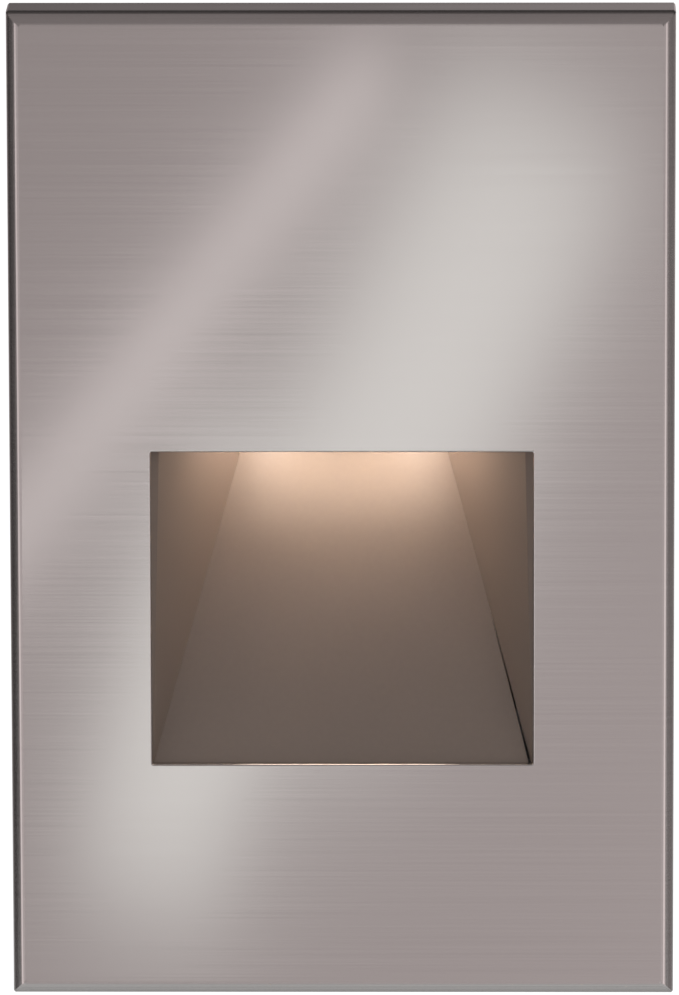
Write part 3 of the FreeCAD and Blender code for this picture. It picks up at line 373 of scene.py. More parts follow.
def bevel(width: float, segments: int) -> Step:
    """Make a step that rounds the picked edges."""
    return lambda: bpy.ops.mesh.bevel(offset=width * MM, segments=segments, profile=0.5, affect="EDGES")


def shift(move: Triple) -> Step:
    """Make a step that moves the picked elements along a vector."""
    return lambda: bpy.ops.transform.translate(value=[value * MM for value in move])


def part(place: Triple, normal: Triple, clear: bool = False) -> Step:
    """Make a step that parts the picked elements along a plane, and may drop what is behind it."""
    where = [value * MM for value in place]
    return lambda: bpy.ops.mesh.bisect(plane_co=where, plane_no=normal, clear_inner=clear)


def drop() -> object:
    """Delete the picked faces."""
    return bpy.ops.mesh.delete(type="FACE")


def pull(move: Triple) -> Step:
    """Make a step that extrudes the picked elements along a vector."""
    step = {"value": [value * MM for value in move]}
    return lambda: bpy.ops.mesh.extrude_region_move(TRANSFORM_OT_translate=step)


def along(axis: int) -> Test:
    """Make a test for the edges that run along one axis."""
    return lambda a, b: all(at(a[n], b[n]) for n in range(3) if n != axis)


def level(axis: int, place: float) -> Test:
    """Make a test for the edges that lie in one plane, square to an axis."""
    return lambda a, b: at(a[axis], place) and at(b[axis], place)


def forward(middle: Vector, normal: Vector) -> bool:
    """Whether a face looks straight at the room."""
    return normal.y < -0.999


def both(*tests: Test) -> Test:
    """Make a test for what passes all of some tests."""
    return lambda a, b: all(test(a, b) for test in tests)


def span(side: int, near: float, far: float) -> tuple[float, float]:
    """Order two distances from the middle, to the left (-1) or to the right (1), by their place."""
    return (near, far) if side > 0 else (-far, -near)


def thread(start: float, end: float, radius: float, pitch: float = 0.5, depth: float = 0.13) -> list[Station]:
    """List a lathe's stations for a threaded length.

    Args:
        start: Where it starts.
        end: Where it ends.
        radius: The thread's outer radius.
        pitch: The way from one turn to the next.
        depth: How deep it is cut.

    Returns:
        The stations.
    """
    stations = []
    for turn in range(int((end - start) / pitch)):
        place = start + turn * pitch
        stations += [(place, radius - depth), (place + pitch / 2, radius)]
    return [*stations, (end, radius - depth)]


# ---------------------------------------------------------------- finishes


class Grain(Enum):
    """What the surface of a finish is like, close to."""

    BRUSHED = "brushed"
    SATIN = "satin"
    PLATED = "plated"
    CAST = "cast"
    FOAM = "foam"
    MOULDED = "moulded"
    WOUND = "wound"
    BOARD = "board"
    FROSTED = "frosted"


class Graph:
    """A node tree under construction."""

    def __init__(self, tree: bpy.types.NodeTree) -> None:
        """Empty the tree."""
        self.tree = tree
        self.tree.nodes.clear()

    def add(self, kind: str, settings: dict[str, object] | None = None, **sockets: object) -> bpy.types.Node:
        """Add a node.

        Args:
            kind: The node's type, without its prefix.
            settings: Its own properties.
            sockets: What its inputs get, a value or another node's output. An underscore stands for a
                space, and n with a number for the input at that place.

        Returns:
            The new node.
        """
        node = self.tree.nodes.new("ShaderNode" + kind)
        for name, value in (settings or {}).items():
            setattr(node, name, value)
        for name, value in sockets.items():
            key = name.replace("_", " ")
            numbered = key[0] == "n" and key[1:].isdigit()
            socket = node.inputs[int(key[1:]) if numbered else key]
            if isinstance(value, bpy.types.NodeSocket):
                self.tree.links.new(value, socket)
            else:
                socket.default_value = value
        return node

    def math(self, operation: str, a: object, b: object = 0.0) -> bpy.types.NodeSocket:
        """Add one sum and return its result."""
        return self.add("Math", {"operation": operation}, n0=a, n1=b).outputs[0]

    def blend(self, a: object, much: float, b: object, more: float) -> bpy.types.NodeSocket:
        """Add two values up, each by its share."""
        return self.math("ADD", self.math("MULTIPLY", a, much), self.math("MULTIPLY", b, more))

    def noise(self, where: object, scale: float, detail: float = 4.0) -> bpy.types.NodeSocket:
        """Add a noise and return its value."""
        return self.add("TexNoise", None, Vector=where, Scale=scale, Detail=detail).outputs[0]

    def spread(self, value: object, low: float, high: float) -> bpy.types.NodeSocket:
        """Map the middle of a noise's range on to two values."""
        return self.add("MapRange", None, Value=value, From_Min=0.3, From_Max=0.7, To_Min=low,
                        To_Max=high).outputs[0]


@dataclass(frozen=True)
class Finish:
    """One surface finish. Its name is the record's slot."""

    name: str
    colour: Triple
    grain: Grain
    roughness: float = 0.5
    metallic: float = 0.0
    tint: float = 0.12
    unevenness: float = 0.08
    relief: float = 0.02
    scale: float = 900.0
    anisotropy: float = 0.0
    coat: float = 0.0
    transmission: float = 0.0
    glow: float = 0.0

    def shades(self) -> tuple[tuple[float, ...], tuple[float, ...]]:
        """Work out what the colour varies between.

        Returns:
            The darker and the lighter colour.
        """
        dark = tuple(value * (1 - self.tint) for value in self.colour) + (1.0,)
        light = tuple(min(1.0, value * (1 + self.tint)) for value in self.colour) + (1.0,)
        return dark, light

    def _texture(self, graph: Graph) -> tuple[bpy.types.NodeSocket, bpy.types.NodeSocket]:
        """Lay out the grain.

        Args:
            graph: The material's tree.

        Returns:
            The value that tints the colour, and the height for the relief.
        """
        place = graph.add("TexCoord").outputs["Object"]
        if self.grain is Grain.BRUSHED:
            return self._brushed(graph, place)
        if self.grain is Grain.FOAM:
            pores = graph.add("TexVoronoi", None, Vector=place, Scale=self.scale).outputs["Distance"]
            return pores, graph.math("POWER", pores, 2.0)
        if self.grain is Grain.PLATED:
            cells = graph.add("TexVoronoi", None, Vector=place, Scale=self.scale / 3).outputs["Color"]
            spangle = graph.add("SeparateColor", None, Color=cells).outputs[0]
            fine = graph.noise(place, self.scale * 2)
            return graph.math("MULTIPLY_ADD", spangle, 0.3), fine
        if self.grain is Grain.WOUND:
            turns = graph.add("TexWave", {"bands_direction": "DIAGONAL"}, Vector=place, Scale=self.scale,
                              Distortion=1.0, Detail=1.0).outputs[1]
            return turns, turns
        if self.grain is Grain.BOARD:
            tracks = graph.add("TexBrick", {"offset": 0.5}, Vector=place, Scale=self.scale,
                               Mortar_Size=0.06, Mortar_Smooth=0.1).outputs[1]
            return graph.math("ADD", tracks, graph.noise(place, 60)), tracks
        if self.grain is Grain.CAST:
            lumps = graph.noise(place, self.scale, 6)
            return graph.blend(lumps, 0.5, graph.noise(place, 70, 3), 0.5), lumps
        fine = graph.noise(place, self.scale, 5)
        return graph.blend(fine, 0.4, graph.noise(place, 45, 2), 0.6), fine

    def _brushed(self, graph: Graph, place: object) -> tuple[bpy.types.NodeSocket, bpy.types.NodeSocket]:
        """Lay out long scratches that run level round the pan, and along its top and bottom flanges.

        Args:
            graph: The material's tree.
            place: Where each point is.

        Returns:
            The value that tints the colour, and the height for the relief.
        """
        normal = graph.add("NewGeometry").outputs["Normal"]
        upward = graph.add("SeparateXYZ", None, Vector=normal).outputs[2]
        flat = graph.math("GREATER_THAN", graph.math("ABSOLUTE", upward), 0.75)
        layers = []
        for length, width in BRUSH_SCALES:
            upright = graph.add("Mapping", None, Vector=place, Scale=(length, length, width)).outputs[0]
            lying = graph.add("Mapping", None, Vector=place, Scale=(length, width, length)).outputs[0]
            where = graph.add("Mix", {"data_type": "VECTOR"}, n0=flat, n4=upright, n5=lying).outputs[1]
            layers.append(graph.noise(where, 1.0, 3))
        scratches = graph.blend(layers[0], 0.3, layers[1], 0.7)
        return scratches, scratches

    @cache
    def material(self) -> bpy.types.Material:
        """Build the material for this finish, once.

        Returns:
            The material.
        """
        material = bpy.data.materials.new(self.name)
        material.use_nodes = True
        graph = Graph(material.node_tree)
        tone, height = self._texture(graph)
        dark, light = self.shades()
        factor = graph.spread(tone, 0.0, 1.0)
        colour = graph.add("Mix", {"data_type": "RGBA"}, n0=factor, n6=dark, n7=light).outputs[2]
        low, high = self.roughness - self.unevenness, self.roughness + self.unevenness
        bump = graph.add("Bump", None, Strength=1.0, Distance=self.relief * MM, Height=height).outputs[0]
        shader = graph.add("BsdfPrincipled", None, Base_Color=colour, Metallic=self.metallic,
                           Roughness=graph.spread(tone, low, high), Normal=bump,
                           Anisotropic=self.anisotropy, Coat_Weight=self.coat, Coat_Roughness=0.1,
                           Transmission_Weight=self.transmission, Emission_Strength=self.glow)
        if self.anisotropy:
            shader.inputs["Anisotropic Rotation"].default_value = QUARTER_TURN
            tangent = graph.add("Tangent", {"direction_type": "RADIAL", "axis": "Z"}).outputs[0]
            graph.tree.links.new(tangent, shader.inputs["Tangent"])
        surface = shader.outputs[0]
        if self.glow:
            shader.inputs["Emission Color"].default_value = (*WARM, 1.0)
        if self.grain is Grain.FROSTED:
            shadow = graph.add("LightPath").outputs["Is Shadow Ray"]
            clear = graph.add("BsdfTransparent").outputs[0]
            surface = graph.add("MixShader", None, n0=shadow, n1=surface, n2=clear).outputs[0]
        graph.add("OutputMaterial", None, Surface=surface)
        return material


BRUSHED_STEEL = Finish("brushed_steel", (0.6, 0.58, 0.57), Grain.BRUSHED, roughness=0.18, metallic=1.0,
                       tint=0.035, unevenness=0.02, relief=0.00045, anisotropy=0.35)
SCOOP_PAINT = Finish("scoop_paint", (0.17, 0.132, 0.112), Grain.SATIN, roughness=0.42, tint=0.05,
                     unevenness=0.05, relief=0.004, scale=1500.0)
ZINC_STEEL = Finish("zinc_steel", (0.6, 0.61, 0.62), Grain.PLATED, roughness=0.34, metallic=1.0,
                    unevenness=0.1, relief=0.004)
EARTH_GREEN = Finish("earth_green", (0.05, 0.34, 0.12), Grain.SATIN, roughness=0.35, metallic=0.6,
                     tint=0.15, relief=0.004)
FOAM = Finish("foam", (0.05, 0.05, 0.052), Grain.FOAM, roughness=0.9, tint=0.5, unevenness=0.05,
              relief=0.12, scale=2200.0)
SILICONE = Finish("silicone", (0.4, 0.4, 0.41), Grain.MOULDED, roughness=0.55, tint=0.08, unevenness=0.06,
                  relief=0.01)
CAST_ALUMINIUM = Finish("cast_aluminium", (0.55, 0.555, 0.56), Grain.CAST, roughness=0.46, metallic=1.0,
                        tint=0.14, unevenness=0.1, relief=0.03, scale=1300.0)
FROSTED_GLASS = Finish("frosted_glass", (0.95, 0.93, 0.88), Grain.FROSTED, tint=0.03, unevenness=0.05,
                       relief=0.01, scale=1500.0, transmission=0.6, glow=2.9)
BOARD_WHITE = Finish("board_white", (0.82, 0.82, 0.8), Grain.BOARD, roughness=0.4, tint=0.06,
                     unevenness=0.05, relief=0.01, scale=160.0, coat=0.3)
BOARD_GREEN = Finish("board_green", (0.03, 0.2, 0.08), Grain.BOARD, roughness=0.35, tint=0.35,
                     unevenness=0.05, scale=120.0, coat=0.4)
EMITTER = Finish("emitter", (0.92, 0.72, 0.28), Grain.MOULDED, tint=0.08, unevenness=0.05, relief=0.01,
                 glow=4.0)
BLACK_PLASTIC = Finish("black_plastic", (0.03, 0.03, 0.032), Grain.MOULDED, tint=0.3, relief=0.01)
WHITE_PLASTIC = Finish("white_plastic", (0.78, 0.77, 0.72), Grain.MOULDED, roughness=0.45, tint=0.05,
                       unevenness=0.06, relief=0.008)
TERMINAL_PLASTIC = Finish("terminal_plastic", (0.08, 0.3, 0.14), Grain.MOULDED, roughness=0.45,
                          unevenness=0.06, relief=0.008)
LEAD_RED = Finish("lead_red", (0.55, 0.03, 0.02), Grain.MOULDED, roughness=0.4, unevenness=0.05,
                  relief=0.004)
LEAD_BLACK = Finish("lead_black", (0.02, 0.02, 0.022), Grain.MOULDED, roughness=0.4, tint=0.3,
                    unevenness=0.05, relief=0.004)
COPPER = Finish("copper", (0.7, 0.33, 0.15), Grain.WOUND, roughness=0.32, metallic=0.9, tint=0.3,
                relief=0.08, scale=1500.0, coat=0.4)
BRASS = Finish("brass", (0.76, 0.57, 0.25), Grain.SATIN, roughness=0.3, metallic=1.0, tint=0.1,
               relief=0.004)
STAINLESS = Finish("stainless", (0.58, 0.575, 0.57), Grain.SATIN, roughness=0.28, metallic=1.0, tint=0.1,
                   relief=0.003)
RUBBER = Finish("rubber", (0.03, 0.03, 0.03), Grain.MOULDED, roughness=0.7, tint=0.3, relief=0.015)
THERMAL_BLUE = Finish("thermal_blue", (0.33, 0.43, 0.58), Grain.MOULDED, roughness=0.7, tint=0.1)
CAPACITOR_SLEEVE = Finish("capacitor_sleeve", (0.04, 0.05, 0.12), Grain.MOULDED, roughness=0.25, tint=0.2,
                          unevenness=0.05, relief=0.004, coat=0.5)
FINISHES = (
    BRUSHED_STEEL, SCOOP_PAINT, ZINC_STEEL, EARTH_GREEN, FOAM, SILICONE, CAST_ALUMINIUM,
    FROSTED_GLASS, BOARD_WHITE, BOARD_GREEN, EMITTER, BLACK_PLASTIC, WHITE_PLASTIC,
    TERMINAL_PLASTIC, LEAD_RED, LEAD_BLACK, COPPER, BRASS, STAINLESS, RUBBER, THERMAL_BLUE,
    CAPACITOR_SLEEVE,
)


# ---------------------------------------------------------------- the light's pieces


@dataclass
class FacePlate:
    """The folded steel pan with its one opening."""

    front: float = -8.5
    rim: float = -0.5
    half_width: float = 42.5
    half_height: float = 64.0
    sheet: float = 1.2
    bend: float = 1.6
    opening_half: float = 24.4
    opening_top: float = 7.2
    opening_bottom: float = -33.6
    chamfer: float = 0.22
    opening_corner: float = 0.15
    lip: float = 0.25
    ease: float = 0.1
    insert_y: float = -4.1
    insert_hole: float = 2.2
    weep_half: float = 4.0
    weep_depth: float = 1.5

    def _pan(self) -> Workpiece:
        """Fold the pan: an open box whose front edges are rolled, with a mitre at each corner.

        Returns:
            The pan, as a skin with no thickness yet.
        """
        low = (-self.half_width, self.front, -self.half_height)
        high = (self.half_width, self.rim, self.half_height)
        pan = Workpiece.block("steel_face", low, high)
        pan.faces(lambda middle, normal: normal.y > 0.9, drop)
        return pan.edges(level(1, self.front), bevel(self.bend, 10))

    def _opening(self, pan: Workpiece) -> None:
        """Part the front along the opening's four sides, and take out its middle.

        Args:
            pan: The skin of the pan.
        """
        cuts = [((side * self.opening_half, 0, 0), (1, 0, 0)) for side in (-1, 1)]
        cuts += [((0, 0, height), (0, 0, 1)) for height in (self.opening_bottom, self.opening_top)]
        for place, normal in cuts:
            pan.faces(forward, part(place, normal))
        pan.faces(both(forward, lambda middle, normal: self._in_opening(middle)), drop)

    def build(self) -> None:
        """Make the plate and put it in place of the plain one."""
        pan = self._pan()
        self._opening(pan)
        pan.thicken(self.sheet)
        pan.edges(self._opening_corner, bevel(self.opening_corner, 4))
        for side in (-1, 1):
            foot = (side * (self.half_width - 4), self.insert_y, 0)
            pan.cut(Workpiece.rod("side_hole", foot, (side, 0, 0), self.insert_hole, 8, 64))
        low = (-self.weep_half, self.rim - self.weep_depth, -self.half_height - 2)
        pan.cut(Workpiece.block("weep", low, (self.weep_half, 1, -self.half_height + 3)))
        pan.clean()
        pan.edges(self._on_mitre, bevel(self.chamfer, 1))
        pan.edges(self._on_lip, bevel(self.lip, 4))
        pan.soften(self.ease)
        pan.finish(LIGHT, BRUSHED_STEEL, "face_plate")

    def _on_mitre(self, *ends: Vector) -> bool:
        """Tell whether an edge is on the outside of the pan, where two of its flanges or bends meet.

        Args:
            ends: Its two ends.

        Returns:
            Whether both are there.
        """
        def there(point: Vector) -> bool:
            """Whether a point is on a mitre, and as far out as the outside of the bend."""
            reach, ahead = abs(point.x) - self.half_width + self.bend, self.front + self.bend - point.y
            return (at(self.half_width - abs(point.x), self.half_height - abs(point.z))
                    and math.hypot(reach, max(0.0, ahead)) > self.bend - SLACK)

        return all(there(point) for point in ends)

    def _opening_corner(self, a: Vector, b: Vector) -> bool:
        """Whether an edge runs through the sheet at a corner of the opening."""
        return (abs(a.y - b.y) > self.sheet / 2 and at(abs(a.x), self.opening_half) and at(a.x, b.x)
                and (at(a.z, self.opening_top) or at(a.z, self.opening_bottom)))

    def _in_opening(self, point: Vector) -> bool:
        """Whether a point is within the opening's outline, or on it."""
        return (abs(point.x) < self.opening_half + SLACK
                and self.opening_bottom - SLACK < point.z < self.opening_top + SLACK)

    def _on_lip(self, *ends: Vector) -> bool:
        """Whether an edge is on the opening's front rim."""
        return all(at(point.y, self.front) and self._in_opening(point) for point in ends)


@dataclass
class Scoop:
    """The sloped panel and the two cheeks that line the recess."""

    face: float = -7.3
    knee: float = -6.3
    back: float = 19.5
    front_half: float = 24.4
    knee_half: float = 23.4
    back_half: float = 11.9
    low: float = -34.1
    top: float = 7.7
    sheet: float = 0.8
    overlap: float = 0.1
    seam: float = 0.5
    tuck: float = 0.35
    foot: float = 0.8
    fade: float = 0.96
    ease: float = 0.03
    slope_turn: float = 30.0
    cheek_turn: float = 20.0

    def build_slope(self) -> None:
        """Fold the sloped panel: a short foot behind the plate, then a run whose right edge leaves a seam."""
        half = self.front_half + self.overlap
        panel = Workpiece.panel("scoop_slope", (-half, self.face, self.low - self.foot),
                                (half, self.face, self.low))
        shrink = (self.back_half + self.overlap) / half

        def fold() -> None:
            """Draw the run out of the foot, and narrow its far end."""
            pull((0, self.back - self.face, self.top - self.low))()
            bpy.ops.transform.resize(value=(shrink, 1, 1), center_override=(0, 0, 0))

        panel.edges(level(2, self.low), fold)
        for place, outward in ((self.face, -self.seam), (self.back, self.tuck)):
            panel.corners(lambda point: point.x > 0 and at(point.y, place), shift((outward, 0, 0)))
        panel.thicken(self.sheet)
        panel.soften(self.ease, self.slope_turn)
        panel.finish(LIGHT, SCOOP_PAINT, "reflector_slope")

    def build_cheek(self, side: int) -> None:
        """Fold one cheek: a flange behind the plate, a facet that narrows downwards, then one flat run.

        Args:
            side: -1 for the left cheek, 1 for the right one.
        """
        word = "left" if side < 0 else "right"
        start, end = span(side, self.front_half, self.front_half + self.foot)
        low = (start, self.face, self.low - self.foot)
        cheek = Workpiece.panel(f"scoop_cheek_{word}", low, (end, self.face, self.top))
        stations = ((self.face, self.front_half), (self.knee, self.knee_half), (self.back, self.back_half))
        for (y, half), (next_y, next_half) in zip(stations, stations[1:]):
            cheek.edges(level(0, side * half), pull((side * (next_half - half), next_y - y, 0)))
        inward, ahead = self.front_half - self.knee_half, self.face - self.knee
        fold = (side * inward * self.fade, ahead * self.fade, 0)
        cheek.corners(lambda point: at(point.x, side * self.knee_half) and at(point.z, low[2]), shift(fold))
        facing = Vector((0, self.low - self.top, self.back - self.face)).normalized()
        cheek.everything(part((0, self.back, self.top - self.overlap), facing, clear=True))
        cheek.thicken(self.sheet)
        cheek.soften(self.ease, self.cheek_turn)
        cheek.finish(LIGHT, SCOOP_PAINT, f"{word}_cheek")


@dataclass(frozen=True)
class Room:
    """One hollow of the housing: two opposite corners, and the radius of its edges."""

    low: Triple
    high: Triple
    corner: float


@dataclass
class Housing:
    """The die-cast body behind the plate: the recess below, the closed driver room above."""

    mouth: Room = Room((-25.38, -8, -35), (25.38, 0, 7.8), 0.3)
    recess: Room = Room((-22.27, -4.5, -35), (22.27, 30, 8.8), 1.0)
    lens_seat: Room = Room((-17.67, -0.7, 8), (17.67, 21.7, 12.1), 0.3)
    lamp_room: Room = Room((-13.97, 1.5, 11.5), (13.97, 19.5, 15.6), 0.4)
    driver_room: Room = Room((-22.27, -4.5, 17.6), (22.27, 40, 30.6), 1.0)
    flange_half: float = 30.78
    flange_front: float = -6.5
    flange_back: float = -4.5
    flange_low: float = -44.6
    flange_high: float = 42.7
    flange_round: float = 0.35
    collar_half: float = 27.38
    collar_front: float = -5.5
    collar_lap: float = 0.02
    collar_round: float = 0.4
    tube_half: float = 24.27
    tube_front: float = -2.0
    tube_back: float = 32.0
    low: float = -37.0
    high: float = 35.1
    corner: float = 3.0
    back_round: float = 0.4
    stud_x: float = 22.0
    stud_heights: tuple[float, float] = (-41.0, 39.1)
    fins: int = 8
    fin_pitch: float = 4.0
    fin_gap: float = 2.0
    fin_run: tuple[float, float] = (2.0, 28.0)
    fin_depth: float = 2.0
    fin_round: float = 0.45
    rib_places: tuple[float, ...] = (6.0, 14.0, 22.0)
    rib_heights: tuple[float, float] = (-33.0, 9.0)
    rib_rise: float = 0.6
    rib_width: float = 1.6
    rib_round: float = 0.3
    stud_hole: float = 1.7
    drain_x: float = 12.0
    drain_y: float = -2.25
    drain: float = 1.5
    pocket_half: float = 19.0
    pocket_heights: tuple[float, float] = (-32.0, 5.0)
    pocket_depth: float = 0.7
    pocket_round: float = 0.6
    pin_places: tuple[tuple[float, float], ...] = ((-14, -27), (-14, 0), (14, -27), (14, 0))
    pin_radius: float = 2.2
    pin_depth: float = 0.2

    def _outside(self) -> Workpiece:
        """Join the tube, the collar, the flange and the ribs.

        Returns:
            The solid body.
        """
        low = (-self.tube_half, self.tube_front, self.low)
        body = Workpiece.block("cast_housing", low, (self.tube_half, self.tube_back, self.high))
        body.edges(along(1), bevel(self.corner, 8))
        body.edges(level(1, self.tube_back), bevel(self.back_round, 3))
        low = (-self.collar_half, self.collar_front, self.low - self.collar_lap)
        high = (self.collar_half, 0, self.high + self.collar_lap)
        body.add(Workpiece.rounded("collar", low, high, self.collar_round))
        low = (-self.flange_half, self.flange_front, self.flange_low)
        high = (self.flange_half, self.flange_back, self.flange_high)
        body.add(Workpiece.rounded("flange", low, high, self.flange_round))
        foot, top = self.rib_heights
        for place in self.rib_places:
            for side in (-1, 1):
                start, end = span(side, self.tube_half - 1, self.tube_half + self.rib_rise)
                low, high = (start, place, foot), (end, place + self.rib_width, top)
                body.add(Workpiece.rounded("rib", low, high, self.rib_round))
        return body

    def _hollow(self, body: Workpiece) -> None:
        """Hollow out the five rooms, one after another."""
        for room in (self.mouth, self.recess, self.lens_seat, self.lamp_room, self.driver_room):
            body.cut(Workpiece.rounded("room", room.low, room.high, room.corner))

    def _details(self, body: Workpiece) -> None:
        """Cut the cooling grooves, the stud holes, the drains, and the cast-in pocket of the back wall.

        Args:
            body: The hollowed body.
        """
        first = -self.fin_pitch * (self.fins - 1) / 2
        for number in range(self.fins):
            middle = first + number * self.fin_pitch
            low = (middle - self.fin_gap / 2, self.fin_run[0], self.high - self.fin_depth)
            high = (middle + self.fin_gap / 2, self.fin_run[1], self.high + 2)
            body.cut(Workpiece.rounded("groove", low, high, self.fin_round))
        for side in (-1, 1):
            for height in self.stud_heights:
                foot = (side * self.stud_x, -8, height)
                body.cut(Workpiece.rod("stud_hole", foot, (0, 1, 0), self.stud_hole, 5))
            foot = (side * self.drain_x, self.drain_y, self.low - 1)
            body.cut(Workpiece.rod("drain", foot, (0, 0, 1), self.drain, 4))
        bottom, top = self.pocket_heights
        low = (-self.pocket_half, self.tube_back - self.pocket_depth, bottom)
        high = (self.pocket_half, self.tube_back + 3, top)
        body.cut(Workpiece.rounded("pocket", low, high, self.pocket_round))
        for x, z in self.pin_places:
            foot = (x, self.tube_back - self.pocket_depth - self.pin_depth, z)
            body.cut(Workpiece.rod("pin_mark", foot, (0, 1, 0), self.pin_radius, 2, 32))

    def build(self) -> None:
        """Make the housing."""
        body = self._outside()
        self._hollow(body)
        self._details(body)
        body.clean()
        body.finish(LIGHT, CAST_ALUMINIUM, "housing")


@dataclass
class RearCover:
    """The closed back of the driver room, with its screws and the rubber inlet."""

    half: float = 24.27
    front: float = 32.8
    back: float = 34.8
    low: float = 10.9
    high: float = 35.1
    corner: float = 3.0
    edge_round: float = 0.5
    inlet_z: float = 24.1
    inlet: float = 4.95
    boss: Profile = ((0, 8.4), (1.2, 8.4), (1.5, 8.0))
    rib_ends: tuple[float, float] = (10.5, 22.3)
    rib_heights: tuple[float, float] = (22.4, 23.8)
    rib_rise: float = 0.4
    rib_round: float = 0.3
    screw_x: float = 18.97
    screw_heights: tuple[float, float] = (14.25, 32.85)
    screw_end: float = 10.2
    screw_radius: float = 1.5
    head: Profile = ((0, 1.7), (0.2, 2.15), (0.55, 2.45), (1.0, 2.5), (1.6, 2.5))
    socket: float = 1.15
    bushing_front: float = 31.4
    bushing: Profile = ((0, 5.0), (0.5, 5.5), (1.4, 5.6), (1.4, 4.9), (3.4, 4.9), (3.4, 6.2), (3.7, 6.4),
                        (4.3, 6.4), (4.7, 6.0), (4.75, 5.3), (5.0, 5.2), (5.2, 4.7))
    bore_front: float = 30.0
    bore: Profile = ((0, 3.5), (5.9, 3.5), (6.7, 4.0), (8, 4.1))

    def build_cover(self) -> None:
        """Make the cover: a cast lid with a raised collar round the inlet and two ribs."""
        low = (-self.half, self.front, self.low)
        lid = Workpiece.block("cast_cover", low, (self.half, self.back, self.high))
        lid.edges(along(1), bevel(self.corner, 8))
        lid.edges(level(1, self.back), bevel(self.edge_round, 3))
        inlet = (0, self.back - 1, self.inlet_z)
        lid.add(Workpiece.turned("boss", inlet, (0, 1, 0), self.boss, 64))
        bottom, top = self.rib_heights
        for side in (-1, 1):
            start, end = span(side, *self.rib_ends)
            low, high = (start, self.back - 1, bottom), (end, self.back + self.rib_rise, top)
            lid.add(Workpiece.rounded("rib", low, high, self.rib_round))
        lid.cut(Workpiece.rod("inlet", (0, self.front - 1, self.inlet_z), (0, 1, 0), self.inlet, 5, 64))
        lid.clean()
        lid.finish(LIGHT, CAST_ALUMINIUM, "rear_cover")

    def build_screws(self) -> None:
        """Make one pan-head screw, and copy it to the other three corners."""
        low, high = self.screw_heights
        tall = self.head[-1][0]
        first = (-self.screw_x, self.back + tall, low)
        stations = (*self.head, *thread(tall, self.screw_end, self.screw_radius))
        screw = Workpiece.turned("cover_pan_screws", first, (0, -1, 0), stations, 36)
        foot = (first[0], first[1] + 0.5, first[2])
        screw.cut(Workpiece.rod("socket", foot, (0, -1, 0), self.socket, 1.5, 6))
        screw.repeat([(2 * self.screw_x, 0, 0), (0, 0, high - low), (2 * self.screw_x, 0, high - low)])
        screw.finish(LIGHT, STAINLESS, "cover_screws")

    def build_bushing(self) -> None:
        """Make the rubber inlet: a barb inside, a neck, and a stepped lip outside."""
        foot = (0, self.bushing_front, self.inlet_z)
        bushing = Workpiece.turned("rubber_inlet", foot, (0, 1, 0), self.bushing, 64)
        foot = (0, self.bore_front, self.inlet_z)
        bushing.cut(Workpiece.turned("bore", foot, (0, 1, 0), self.bore, 64))
        bushing.finish(LIGHT, RUBBER, "wire_bushing")


